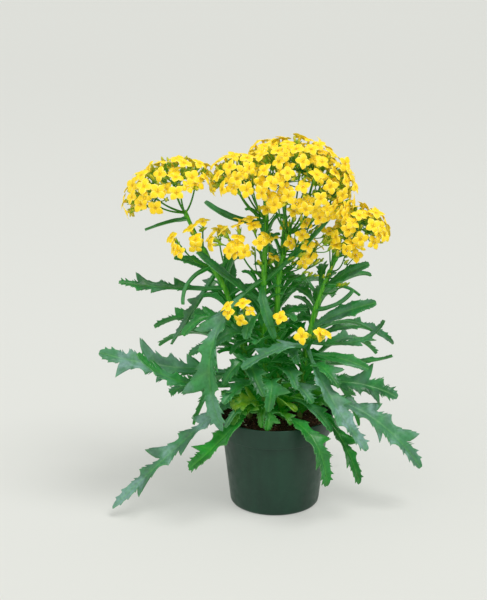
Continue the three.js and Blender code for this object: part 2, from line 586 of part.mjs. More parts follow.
function potSolid() {
  const inside = COLLAR_FOOT + POT_WALL;
  const profile = [
    [0, 0],
    ...[0, 1, 2, 3].map((i) => {
      const turn = (i * Math.PI) / 6;
      const middle = wallRadius(POT_FOOT_ROUND) - POT_FOOT_ROUND;
      return [middle + POT_FOOT_ROUND * Math.sin(turn), POT_FOOT_ROUND * (1 - Math.cos(turn))];
    }),
    [POT_NECK_RADIUS, COLLAR_FOOT],
    [POT_COLLAR_RADIUS, COLLAR_FOOT + POT_LIP_ROUND],
    [POT_RIM_RADIUS, POT_HEIGHT - POT_LIP_ROUND],
    [POT_RIM_RADIUS - POT_LIP_ROUND, POT_HEIGHT],
    [POT_RIM_RADIUS - POT_WALL, POT_HEIGHT - POT_LIP_ROUND],
    [collarRadius(inside) - POT_WALL, inside],
    [POT_NECK_RADIUS - POT_WALL, COLLAR_FOOT - POT_LIP_ROUND],
    [wallRadius(POT_FOOT_ROUND) - POT_WALL, POT_FOOT_ROUND],
    [wallRadius(POT_FOOT_ROUND) - POT_FOOT_ROUND, POT_FLOOR],
    [0, POT_FLOOR],
  ];
  const outline = profile.map(([r, z]) => new THREE.Vector2(r, z));
  const shell = upright(new THREE.LatheGeometry(outline, POT_SEGMENTS));
  const drains = Array.from({ length: DRAIN_COUNT }, (_, i) => {
    const turn = (2 * Math.PI * (i + 0.5)) / DRAIN_COUNT;
    const drain = upright(new THREE.CylinderGeometry(DRAIN_RADIUS, DRAIN_RADIUS, 4 * POT_FLOOR, 8));
    return geometrySolid(
      drain.translate(DRAIN_CIRCLE_RADIUS * Math.cos(turn), DRAIN_CIRCLE_RADIUS * Math.sin(turn), 0),
    );
  });
  return geometrySolid(shell).subtract(wasm.Manifold.union(drains));
}

// Two crossing waves, about 20 and 15 mm long, give the soil its lumps.
function soilHeight(x, y) {
  const lumps = Math.sin(x * 0.31 + 1) * Math.cos(y * 0.27) + 0.6 * Math.sin(x * 0.17 - y * 0.43);
  return SOIL_TOP + SOIL_SWELL * lumps;
}

function soilSolid() {
  const clear = POT_WALL + GAP;
  const bottom = POT_FLOOR + GAP;
  const levels = [
    ...SOIL_RINGS.map((r) => ({ r })),
    { r: collarRadius(SOIL_TOP - SOIL_EDGE_DROP) - clear, z: SOIL_TOP - SOIL_EDGE_DROP },
    { r: collarRadius(COLLAR_FOOT + POT_WALL) - clear, z: COLLAR_FOOT + POT_WALL + GAP },
    { r: POT_NECK_RADIUS - clear, z: COLLAR_FOOT - POT_LIP_ROUND },
    { r: wallRadius(POT_FOOT_ROUND) - clear, z: POT_FOOT_ROUND },
    { r: wallRadius(POT_FOOT_ROUND) - POT_FOOT_ROUND - GAP, z: bottom },
  ];
  const points = [new THREE.Vector3(0, 0, soilHeight(0, 0))];
  for (const { r, z } of levels)
    for (let k = 0; k < SOIL_SEGMENTS; k++) {
      const turn = (2 * Math.PI * k) / SOIL_SEGMENTS;
      const [x, y] = [r * Math.cos(turn), r * Math.sin(turn)];
      points.push(new THREE.Vector3(x, y, z ?? soilHeight(x, y)));
    }
  const triangles = [];
  for (let k = 0; k < SOIL_SEGMENTS; k++) {
    const next = (k + 1) % SOIL_SEGMENTS;
    triangles.push([0, 1 + k, 1 + next]);
    for (let i = 0; i + 1 < levels.length; i++) {
      const [a, b] = [1 + i * SOIL_SEGMENTS + k, 1 + i * SOIL_SEGMENTS + next];
      triangles.push([a, a + SOIL_SEGMENTS, b], [b, a + SOIL_SEGMENTS, b + SOIL_SEGMENTS]);
    }
    const last = 1 + (levels.length - 1) * SOIL_SEGMENTS;
    triangles.push([points.length, last + next, last + k]);
  }
  points.push(new THREE.Vector3(0, 0, bottom));
  const holes = Object.values(stems).map(({ route, radii }) => {
    const [[x, y, z], ...rest] = route;
    const curve = new THREE.CatmullRomCurve3([[x, y, z - 2 * GAP], ...rest].map(vec));
    return stalk({ curve, radii: radii.map((radius) => radius + 2 * GAP) });
  });
  return solidOf(points, triangles).subtract(wasm.Manifold.union(holes));
}

const materials = {
  pot: new THREE.MeshStandardMaterial({ color: "#2f4f43", roughness: 0.45, metalness: 0 }),
  soil: new THREE.MeshStandardMaterial({ color: "#3a2a1f", roughness: 1, metalness: 0 }),
  foliage: new THREE.MeshStandardMaterial({ color: "#2f7d3a", roughness: 0.5, metalness: 0 }),
  petals: new THREE.MeshStandardMaterial({ color: "#f7cf1c", roughness: 0.55, metalness: 0 }),
};

const plant = new THREE.Group();
function add(name, solid, material) {
  const mesh = new THREE.Mesh(geometryOf(solid), material);
  mesh.name = name;
  plant.add(mesh);
}

add("pot", potSolid(), materials.pot);
add("soil", soilSolid(), materials.soil);
const blooms = placeBlooms();
const cymes = [
  ...heads.flatMap((head) => cymesOf(head, blooms.filter((one) => one.head === head))),
  ...sprays.map(sprayOf),
];
for (const [name, stem] of Object.entries(stems)) {
  const leaves = stem.leaves.map((spec, i) => leaf(stem, i, spec));
  const rays = cymes.filter((one) => one.stem === name).map(raySolid);
  add("leafy_stem_" + name, joined([stalk(stem), ...leaves, ...rays]), materials.foliage);
}
for (const one of cymes) add(one.name, cymeSolid(one), materials.petals);

export default plant;
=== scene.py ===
# A flowering kalanchoe in a round plastic nursery pot: fleshy leaves with cut, toothed edges under domed
# heads of yellow four-petalled blooms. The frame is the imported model's, in metres, +Z up, with the plant's
# front towards -Y. Sizes and places below are in millimetres, and Skin turns them to metres.
import math

import bpy
import numpy as np
from mathutils import Euler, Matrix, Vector, noise


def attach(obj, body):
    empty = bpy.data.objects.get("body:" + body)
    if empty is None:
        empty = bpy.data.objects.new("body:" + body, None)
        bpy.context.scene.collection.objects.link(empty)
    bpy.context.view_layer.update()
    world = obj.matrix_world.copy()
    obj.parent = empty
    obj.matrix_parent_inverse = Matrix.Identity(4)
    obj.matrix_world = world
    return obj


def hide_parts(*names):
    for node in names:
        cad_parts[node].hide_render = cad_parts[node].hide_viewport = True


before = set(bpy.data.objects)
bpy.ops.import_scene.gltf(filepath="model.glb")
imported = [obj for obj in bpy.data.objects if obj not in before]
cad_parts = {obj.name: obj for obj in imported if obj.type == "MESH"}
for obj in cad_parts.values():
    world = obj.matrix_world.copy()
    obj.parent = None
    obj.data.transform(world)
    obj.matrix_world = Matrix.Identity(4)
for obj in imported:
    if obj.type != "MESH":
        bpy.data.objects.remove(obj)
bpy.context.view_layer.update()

MM = 0.001
GOLDEN_TURN = math.pi * (3 - math.sqrt(5))

# Pot
POT_HEIGHT = 98
POT_RIM_RADIUS = 60
POT_COLLAR_DROP = 21
POT_COLLAR_RADIUS = 56.8
POT_NECK_RADIUS = 53.6
POT_FOOT_RADIUS = 45
POT_FOOT_ROUND = 4
POT_WALL = 1.6
POT_FLOOR = 2.2
COLLAR_FOOT = POT_HEIGHT - POT_COLLAR_DROP
FOOT_RECESS = dict(radii=(24, 38), depth=0.5)
DRAIN_RADIUS = 4
DRAIN_CIRCLE_RADIUS = 31
DRAIN_COUNT = 4

# Soil
SOIL_TOP = 89
SOIL_CLEARANCE = 0.4
SOIL_EDGE_DROP = 2
SOIL_RADIUS = 56
SOIL_LUMPS = ((1.1, 6, 0), (0.7, 2.2, 9))
CRUMBS = dict(count=1500, sizes=(0.5, 1.7), squash=(1, 1, 0.8), seed=20000)
BARK_CHIPS = dict(count=220, sizes=(1.3, 3.4), squash=(1, 0.5, 0.28), seed=30000)
PERLITE_GRAINS = dict(count=70, sizes=(0.6, 1.7), squash=(1, 0.9, 0.9), seed=40000)

# Leaves. LOBE, TOOTH and NOTCH_IN each hold the least value and what a draw adds to it. GROOVE, KEEL, VEIN
# and other humps hold a height and how wide half of the hump is.
BLADE_RIB = 1.8
BLADE_EDGE = 0.7
BLADE_BLUNTNESS = 0.6
UNDERSIDE_INSET = 0.985
RIM_OUT = 0.22
PETIOLE_SHARE = 0.14
PETIOLE_FADE = 0.16
PETIOLE_FOOT = 2.4
PETIOLE_HALF_WIDTH = 1.6
TIP_HALF_WIDTH = 1.2
FOLD = math.radians(14)
LAST_TOOTH = 0.86
END_LOBE = 0.78
LOBE = dict(out=(0.7, 0.9), forward=(1.1, 0.7))
TOOTH = dict(out=(0.1, 0.3), forward=(0.4, 0.4))
NOTCH_IN = (0.22, 0.3)
STAGGER = 0.45
TOOTH_WAVE = 3
SMALL_TOOTH = 0.26
RIPPLE = dict(height=0.9, pace=9, full_from=80)
GROOVE = (0.5, 1.1)
KEEL = (1.1, 1.6)
VEIN = (1, 0.9)
COLUMNS = np.array([0.0, 0.12, 0.34, 0.6, 0.84, 1.0])
SHOOT_COLUMNS = np.array([0.0, 0.3, 0.7, 1.0])
SHOOT_LEAVES = (2, 3)
SHOOT_REACH = (18, 38)
SHOOT_RISE = (0.1, 0.7)
SHOOT_SLENDERNESS = (5, 9)
SHOOT_WAX_AND_SHEEN = 0.15
STEM_RIDGES = dict(count=5, height=0.035)
NODE_HUMP = (0.16, 2.6)
MOST_SWELLING = 0.3
SLIM_FROM = 205
SLIM_OVER = 40
CLEAR_FRONT_FROM = 185

# Rays and heads
RAY_RADII = (1.05, 0.72)
RAY_FOOT_HUMP = (0.9, 0.05)
RAY_HEAD_HUMP = (0.6, 0.05)
RAY_BEND = 0.6
RAY_RISE = 0.3
INNER_RAY_RADII = (0.85, 0.6)
INNER_RAY_BEND = 0.75
INNER_HUB_SHARE = 0.72
INNER_HUB_DROP = 3
INNER_BLOOM_SIZE = 0.92
INNER_BUD_WANDER = 16
HEAD_HUB_SHARE = 0.74
SPRAY_HUB_SHARE = 0.72
BLOOM_SPACING = 14.6
SPREADING_ROUNDS = 40
BLOOM_SWELL = (0.96, 1.03)
FILLER_CROWDING = 3.4
FILLER_DEPTH = (0.78, 1.05)
FILLER_SPACING = 7.1
FILLER_BLOOM_SIZE = (0.82, 1.0)
SPRAY_SMALL_BLOOMS = 0.55
SPRAY_GAP_SHARE = 0.9
SPRAY_GAP_WANDER = 14
CLEAR_OF_DOMES = 0.9

# Blooms. The outlines are of round parts along a flower's axis: how far below the mouth, and the radius.
BLOOM_RADIUS = 8.7
BLOOM_LEAN = (0.45, 1.0)
BLOOM_SIZE = (0.92, 1.05)
THROAT_RADIUS = 1.5
PEDICEL_RADIUS = 0.55
FULL_PEDICEL = 11
TUBE_FOOT = 8.4
PETAL_THICKNESS = 0.34
PETAL_HALF_WIDTH = 3.7
PETAL_SIZE = (0.94, 1.06)
PETAL_ARCH = 0.9
PETAL_CURL = 0.9
PETAL_CUP = 0.5
PETAL_CREASE = (0.28, 0.25)
PETAL_LIFT = 2.2
PETAL_TWIST = 0.7
PETAL_SHARES = np.array([0, 0.14, 0.3, 0.45, 0.6, 0.74, 0.87, 1.0])
PETAL_WIDTHS = np.array([0.48, 0.78, 0.97, 1.0, 0.9, 0.7, 0.4, 0.04])
PETAL_COLUMNS = np.array([1.0, 0.55, 0, -0.55, -1.0])
PLAIN_ROWS = [0, 2, 4, 6, 7]
PLAIN_COLUMNS = [0, 2, 4]
SEPAL_FOOT = 8.6
SEPAL_LENGTH = 5.2
SEPAL_HALF_WIDTH = 1.05
SEPAL_SHARES = np.array([0, 0.3, 0.6, 0.85, 1.0])
SEPAL_WIDTHS = np.array([0.9, 1.0, 0.8, 0.42, 0.08])
BUD_SIZE = (0.55, 0.95)
TUBE_OUTLINE = ((8.2, 0.7), (7.6, 1.5), (6.2, 1.85), (4.5, 1.75), (2.6, 1.45), (1.0, 1.5), (0.1, 1.85),
                (-0.1, 1.75), (0.3, 1.2), (0.7, 0.8), (1.1, 0.4))
BUD_OUTLINE = ((8.2, 0.7), (7.4, 1.55), (5.8, 1.95), (4.2, 1.75), (2.6, 1.35), (1.2, 1.4), (-0.4, 1.5),
               (-1.8, 1.15), (-3.0, 0.5), (-3.5, 0.12))
ANTHER_OUTLINE = ((0.8, 0.1), (0.3, 0.34), (-0.35, 0.3), (-0.6, 0.08))
ANTHER_CIRCLE_RADIUS = 0.75
HUB_OUTLINE = ((2.2, 1.0), (1.2, 1.7), (0, 2.0), (-1.2, 1.5), (-2.0, 0.5))
BRACT_RADII = (1.0, 1.5, 1.7, 1.5, 1.1, 0.6, 0.1)
BRACT_LENGTH = 7
BRACT_DROP = 1.5
BRACT_FLATNESS = 0.3

# Light: a place to shine from, a width in degrees and a power for each, and how much each finish glows.
LIGHTS = {
    "overhead_softbox": ((0.8, -0.6, 2.0), 32, 1.95),
    "front_softbox": ((-0.7, -1.6, 1.0), 60, 0.7),
    "left_softbox": ((-2.0, -0.3, 0.6), 50, 0.5),
}
WORLD_STRENGTH = 0.48
FLOOR_GLOW = 0.39
PETAL_GLOW = 0.12
LEAF_GLOW = 0.12
STALK_GLOW = 0.1
LEAF_SCATTER = (0.6 * MM, 1.2 * MM, 0.3 * MM)
PETAL_SCATTER = (1.2 * MM, 1.1 * MM, 0.2 * MM)
TUBE_SCATTER = (1.5 * MM, 1.1 * MM, 0.2 * MM)

CAMERA_PLACE = (-0.032, -1.7142, 0.7641)
CAMERA_TILT = math.radians(72.24)
CAMERA_LENS = 108.36
CAMERA_SENSOR = 36


def leaf(z, via, tip, width, teeth, cut, roll=0, wax=0.26, age=0, peak=0.55):
    """A leaf that leaves its stem at height z and runs through via to its tip. width is from its rib to its
    edge where it is widest, at the share peak. cut is the depth of its teeth, roll tips its blade about its
    rib in degrees, wax is how much blue-grey bloom it has, partly a waxy bloom and partly a painted sheen of
    light, and age is how far it has yellowed."""
    return dict(z=z, via=via, tip=tip, width=width, teeth=teeth, cut=cut, roll=roll, wax=wax, age=age,
                peak=peak)


# Stems: the route of each from the soil up, its radius at both ends, where its shoots start and end and how
# far apart they stand, and its leaves. The basal ones are small and near the soil, and some are yellow.
STEMS = {
    "centre": dict(
        seed=1, radii=(4.6, 1.8), shoots=(96, 290, 9),
        route=[(-8, -6, 74), (-10, -5, 113), (-12, -2, 170), (-12, 0, 233), (-10, 0, 296), (-11, 0, 317)],
        leaves=[
            leaf(124, (-51, -59, 93), (-86, -72, 64), 10.5, 8, 0.6, wax=0.05),
            leaf(103, (34, -64, 95), (50, -70, 44), 9.5, 8, 0.7, wax=0.1),
            leaf(238, (-62, -45, 186), (-53, -66, 101), 11.5, 8, 1.1, wax=0.5, peak=0.6),
            leaf(214, (-43, -16, 240), (-77, -24, 272), 7, 6, 0.25, roll=35),
            leaf(232, (-12, -21, 217), (-1, -28, 184), 5.5, 6, 0.3),
            leaf(297, (-40, -10, 302), (-69, -18, 321), 4.2, 4, 0, roll=50),
            leaf(235, (22, -14, 270), (51, -22, 305), 4.5, 6, 0.2, roll=-40),
            leaf(128, (-32, -34, 138), (-52, -56, 126), 8, 6, 0.9),
            leaf(107, (-30, -38, 120), (-50, -63, 104), 5.5, 6, 0.6),
            leaf(150, (-24, -34, 160), (-12, -62, 136), 8, 6, 0.8),
            leaf(172, (-38, -26, 190), (-62, -38, 180), 8, 6, 0.8, roll=20),
            leaf(190, (-22, -22, 206), (-30, -36, 186), 8, 4, 0.6),
            leaf(140, (-32, -30, 161), (-52, -44, 141), 7, 6, 0.8, roll=15),
            leaf(124, (-4, -38, 142), (-8, -58, 118), 8, 6, 0.9),
            leaf(160, (-27, -14, 178), (-46, -22, 166), 7, 4, 0.8),
            leaf(204, (-26, 12, 216), (-38, 24, 206), 7, 4, 0.6),
        ],
        basal=[
            leaf(96, (-20, -34, 115), (-32, -46, 111), 6, 6, 1.1, wax=0, age=0.3),
            leaf(100, (-28, -30, 121), (-43, -52, 102), 7, 6, 1.1, roll=20, wax=0, age=0.15),
            leaf(98, (-14, -36, 114), (-14, -52, 99), 5, 4, 0.8, roll=-20, wax=0, age=0.1),
            leaf(97, (-25, -37, 122), (-44, -48, 119), 9, 6, 1, roll=35, wax=0, age=0.5),
            leaf(99, (-36, -32, 124), (-54, -40, 131), 6, 6, 1, wax=0.2, age=0.1),
            leaf(96, (-6, -40, 110), (-9, -55, 97), 6, 6, 1, roll=15, wax=0.1, age=0.05),
        ],
    ),
    "middle": dict(
        seed=2, radii=(3.4, 2.2), shoots=(96, 285, 9),
        route=[(10, -2, 74), (4, 3, 129), (2, 4, 182), (3, 2, 235), (9, 0, 268), (13, 0, 290)],
        leaves=[
            leaf(108, (30, -34, 118), (55, -58, 97), 6.5, 6, 0.6),
            leaf(136, (12, -24, 150), (20, -48, 138), 7, 6, 0.5),
            leaf(170, (22, 18, 188), (46, 28, 182), 8, 6, 0.7),
            leaf(190, (12, -20, 206), (18, -38, 206), 5.5, 4, 0.4),
            leaf(156, (14, -14, 166), (21, -30, 158), 7, 4, 0.8),
            leaf(204, (-2, 18, 218), (-8, 28, 214), 7, 4, 0.6),
            leaf(122, (18, -30, 138), (36, -50, 124), 8, 6, 0.9),
        ],
        basal=[
            leaf(95, (7, -30, 118), (21, -42, 113), 6.5, 4, 0.2, roll=25, wax=0, age=0.5),
            leaf(101, (9, -22, 129), (24, -34, 143), 4.5, 6, 0.9, wax=0, age=0.15),
            leaf(98, (8, -36, 109), (16, -50, 102), 4, 6, 0.9, wax=0, age=0.1),
            leaf(97, (16, -28, 123), (37, -40, 121), 5, 6, 0.9, wax=0, age=0.2),
        ],
    ),
    "right": dict(
        seed=3, radii=(2.9, 1.7), shoots=(98, 240, 11),
        route=[(24, 2, 74), (29, 0, 141), (37, 0, 194), (46, 0, 225), (61, -2, 263)],
        leaves=[
            leaf(117, (62, -42, 89), (84, -50, 38), 8, 8, 0.9, wax=0.05),
            leaf(118, (94, -18, 99), (147, -28, 46), 12, 10, 0.9, roll=-30, wax=0.85),
            leaf(166, (53, -45, 130), (90, -64, 80), 10.5, 8, 0.6, wax=1.0),
            leaf(126, (82, 2, 126), (124, -2, 112), 10.5, 8, 0.9, roll=-45),
            leaf(158, (64, -13, 158), (93, -20, 149), 6.5, 6, 0.25, roll=-40),
            leaf(186, (64, -12, 205), (99, -18, 218), 8.5, 8, 0.25, roll=-45),
            leaf(228, (69, 3, 241), (93, 6, 251), 6, 6, 0.25, roll=-45),
            leaf(172, (84, 6, 170), (109, 8, 191), 4, 6, 0.8, roll=-30),
            leaf(148, (84, 10, 146), (118, 6, 154), 3.2, 6, 0.3, roll=-25),
            leaf(182, (72, 17, 188), (101, 22, 174), 3, 4, 0),
            leaf(232, (68, -6, 232), (84, -8, 223), 2.2, 4, 0),
            leaf(142, (44, -24, 154), (62, -44, 138), 7.5, 6, 0.9),
            leaf(168, (4, -40, 178), (-34, -51, 161), 9, 8, 0.7, wax=0.8),
            leaf(206, (62, -12, 216), (76, -18, 232), 3.5, 4, 0.2, roll=-30),
        ],
        basal=[
            leaf(97, (40, -20, 122), (54, -30, 132), 4, 4, 0.6, wax=0, age=0.2),
            leaf(102, (34, -26, 116), (46, -40, 111), 4.5, 6, 0.9, wax=0, age=0.25),
            leaf(98, (46, -28, 118), (62, -38, 111), 6, 6, 1, roll=-20, wax=0.3, age=0.1),
        ],
    ),
    "left": dict(
        seed=4, radii=(3.3, 1.7), shoots=(98, 262, 11),
        route=[
            (-25, 2, 74), (-29, 3, 138), (-36, 3, 182), (-50, 2, 225),
            (-65, 0, 254), (-82, 0, 289), (-90, 0, 307),
        ],
        leaves=[
            leaf(138, (-110, -13, 150), (-176, -15, 165), 11.5, 10, 1, roll=45, wax=0.9),
            leaf(228, (-110, -5, 230), (-155, -10, 237), 7.5, 8, 0.9, roll=25),
            leaf(246, (-74, 14, 215), (-106, 17, 163), 7.5, 10, 0.9, roll=35),
            leaf(126, (-95, -30, 140), (-136, -38, 172), 7.5, 8, 0.8, roll=30),
            leaf(122, (-79, 8, 122), (-107, 12, 111), 7, 8, 0.9, roll=40),
            leaf(124, (-94, -30, 74), (-164, -46, 10), 9, 10, 1.1, roll=20, wax=0.8),
            leaf(300, (-108, -7, 297), (-128, -15, 292), 2.2, 4, 0, roll=30),
            leaf(252, (-86, -12, 238), (-92, -18, 216), 3, 4, 0),
            leaf(240, (-80, 4, 253), (-101, 6, 257), 5, 4, 0.3, roll=40),
            leaf(132, (-71, -8, 142), (-109, -14, 145), 5.5, 6, 0.9, roll=35),
            leaf(205, (-46, 18, 232), (-48, 26, 258), 7.5, 6, 0.3),
            leaf(104, (-42, -14, 114), (-60, -28, 104), 6.5, 6, 0.5, roll=20),
            leaf(160, (-58, -14, 174), (-86, -26, 166), 6.5, 6, 0.8, roll=20),
            leaf(184, (-66, -14, 202), (-92, -24, 186), 7, 6, 0.9, roll=20),
        ],
    ),
    "back": dict(
        seed=5, radii=(3.2, 1.9), shoots=(104, 250, 14),
        route=[(1, 24, 74), (-2, 27, 150), (4, 31, 226), (10, 38, 292)],
        leaves=[
            leaf(118, (8, 78, 142), (14, 138, 112), 9, 8, 0.8),
            leaf(162, (-8, 70, 188), (-18, 118, 172), 8.5, 8, 0.6),
            leaf(196, (30, 64, 214), (54, 92, 206), 7, 8, 0.6),
            leaf(230, (-6, 58, 252), (-18, 84, 250), 5.5, 6, 0.3),
            leaf(100, (10, 68, 112), (18, 112, 52), 7.5, 8, 0.9),
            leaf(140, (14, 50, 156), (26, 70, 146), 6.5, 6, 0.5),
        ],
    ),
    "back_left": dict(
        seed=6, radii=(3, 1.7), shoots=(104, 214, 14),
        route=[(-17, 19, 74), (-27, 32, 140), (-40, 46, 196), (-52, 56, 240)],
        leaves=[
            leaf(104, (-52, 58, 116), (-86, 92, 46), 7.5, 8, 0.9),
            leaf(130, (-72, 72, 156), (-122, 98, 134), 9, 8, 0.8),
            leaf(160, (-76, 48, 182), (-124, 50, 170), 7.5, 8, 0.7, roll=20),
            leaf(190, (-56, 82, 208), (-66, 118, 190), 7, 8, 0.6),
            leaf(218, (-72, 66, 232), (-94, 78, 232), 4.5, 6, 0.3),
        ],
    ),
    "back_right": dict(
        seed=7, radii=(3, 1.7), shoots=(104, 206, 14),
        route=[(18, 19, 74), (30, 32, 140), (43, 46, 190), (56, 54, 230)],
        leaves=[
            leaf(102, (58, 56, 114), (92, 84, 48), 7.5, 8, 0.9),
            leaf(128, (72, 72, 150), (110, 106, 122), 9, 8, 0.8),
            leaf(156, (80, 48, 172), (124, 56, 150), 7.5, 8, 0.7, roll=-20),
            leaf(186, (56, 86, 200), (62, 116, 182), 7, 8, 0.6),
            leaf(208, (80, 62, 222), (100, 70, 220), 4.5, 6, 0.3),
        ],
    ),
}

# Domed flower heads: the stem and height that each head's rays leave, how many blooms and cymes it has, its
# dome, and the share of its gaps that hold a small bloom, not a bud. floor is the cosine of the widest angle
# from the top that still carries blooms.
HEADS = [
    dict(name="crown", stem="middle", start=284, blooms=67, cymes=13, centre=(21, -4, 329),
         reach=(55, 44, 50), floor=-0.3, tilt=-14, small_blooms=0.5),
    dict(name="left_wing", stem="centre", start=300, blooms=22, cymes=5, centre=(-34, -6, 333),
         reach=(33, 30, 33), floor=0, tilt=10, small_blooms=0.4),
    dict(name="rear_crown", stem="back", start=288, blooms=20, cymes=4, centre=(2, 48, 328),
         reach=(38, 30, 40), floor=-0.15, tilt=0, small_blooms=0.5),
    dict(name="left_head", stem="left", start=305, blooms=34, cymes=7, centre=(-104, 0, 323),
         reach=(46, 36, 35), floor=0, tilt=25, small_blooms=0.12),
    dict(name="right_head", stem="right", start=260, blooms=24, cymes=5, centre=(82, -4, 285),
         reach=(29, 28, 29), floor=-0.35, tilt=15, small_blooms=0.4),
]

# Small side sprays: the stem and height that each leaves, and the places of its blooms.
SPRAYS = {
    "left_spray_low": ("left", 250, [(-100, -27, 276), (-102, -18, 285)]),
    "left_spray_middle": ("left", 262, [(-79, -22, 284), (-84, -14, 293)]),
    "left_spray_high": ("left", 268, [(-72, -10, 299)]),
    "inner_spray_left": ("centre", 240, [
        (-64, -22, 287), (-53, -22, 292), (-38, -23, 299), (-37, -28, 288), (-46, -34, 276), (-31, -34, 275),
    ]),
    "inner_spray_right": ("centre", 252, [(-22, -24, 299), (-16, -34, 284)]),
    "low_spray_left": ("centre", 184, [(-35, -46, 209), (-33, -38, 224), (-48, -38, 221)]),
    "low_spray_middle": ("middle", 184, [(4, -34, 208)]),
    "low_spray_right": ("right", 172, [(25, -38, 190), (43, -38, 192)]),
    "skirt_spray": ("middle", 240, [(42, 12, 270), (28, 16, 266), (33, -12, 264)]),
    "rear_spray_left": ("back_left", 234, [(-66, 66, 262), (-52, 72, 268)]),
    "rear_spray_right": ("back_right", 226, [(68, 62, 254), (56, 72, 258)]),
}

# Thin rays in the shade under the crown: the stem and height that each leaves, the place of its bloom or
# bud, and whether that is open.
INNER_RAYS = [
    ("centre", 270, (-9, -14, 312), True),
    ("middle", 272, (17, -20, 312), True),
    ("middle", 262, (29, -16, 299), True),
    ("middle", 256, (25, -24, 289), True),
    ("middle", 250, (31, -20, 277), True),
    ("centre", 262, (14, -12, 278), True),
    ("centre", 250, (-4, 4, 280), True),
    ("right", 240, (58, -18, 277), True),
    ("right", 246, (73, -22, 281), True),
    ("right", 238, (78, -16, 266), True),
    ("right", 248, (52, -10, 289), True),
    ("centre", 232, (-2, -2, 261), True),
    ("middle", 266, (40, -30, 313), True),
    ("middle", 258, (45, -2, 293), True),
    ("middle", 236, (41, -12, 259), False),
    ("middle", 228, (35, -16, 248), False),
    ("right", 222, (68, -14, 237), False),
    ("centre", 238, (-24, -16, 270), False),
    ("middle", 246, (20, -10, 258), False),
    ("right", 230, (55, -12, 253), False),
    ("back", 236, (10, 12, 288), True),
    ("back", 244, (24, 16, 262), True),
    ("middle", 262, (8, -10, 299), False),
    ("middle", 244, (48, -18, 283), False),
]


def draw(seed):
    """A repeatable draw from 0 to 1 for each seed."""
    x = math.sin(seed * 12.9898 + 4.1414) * 43758.5453
    return x - math.floor(x)


def jitter(seed, parts):
    """Draws from -0.5 to 0.5, one for each part."""
    return np.array([draw(seed + part) - 0.5 for part in parts])


def vec(point):
    return np.array(point, float)


def unit(v):
    return v / np.linalg.norm(v)


def units(rows):
    return rows / np.linalg.norm(rows, axis=1, keepdims=True)


def mix(a, b, share):
    return a + (b - a) * share


def smooth(share):
    share = np.clip(share, 0, 1)
    return share * share * (3 - 2 * share)


def hump(distance, height, width):
    return height * np.exp(-((distance / width) ** 2))


def spread(points, *parts):
    """Points moved along ways, by a distance for each point."""
    for way, distance in parts:
        points = points + way * distance[..., None]
    return points


def circle(sides):
    return 2 * math.pi * np.arange(sides) / sides


class Route:
    """The centripetal Catmull-Rom curve through a list of points."""

    def __init__(self, points):
        points = [vec(p) for p in points]
        self.points = [2 * points[0] - points[1], *points, 2 * points[-1] - points[-2]]

    def at(self, share):
        spans = len(self.points) - 3
        span = min(int(share * spans), spans - 1)
        t = share * spans - span
        p0, p1, p2, p3 = self.points[span : span + 4]
        gap0, gap1, gap2 = (math.sqrt(np.linalg.norm(b - a)) for a, b in ((p0, p1), (p1, p2), (p2, p3)))
        slope1 = ((p1 - p0) / gap0 - (p2 - p0) / (gap0 + gap1)) * gap1 + (p2 - p1)
        slope2 = (p2 - p1) + ((p3 - p2) / gap2 - (p3 - p1) / (gap1 + gap2)) * gap1
        square = 3 * (p2 - p1) - 2 * slope1 - slope2
        cube = 2 * (p1 - p2) + slope1 + slope2
        return p1 + slope1 * t + square * t * t + cube * t * t * t

    def at_height(self, height):
        low, high = 0.0, 1.0
        for _ in range(40):
            middle = (low + high) / 2
            if self.at(middle)[2] < height:
                low = middle
            else:
                high = middle
        return self.at((low + high) / 2)


def arc(start, bend, end, count):
    """Points along a quadratic curve from start to end."""
    t = np.linspace(0, 1, count)[:, None]
    return (1 - t) ** 2 * start + 2 * (1 - t) * t * bend + t**2 * end


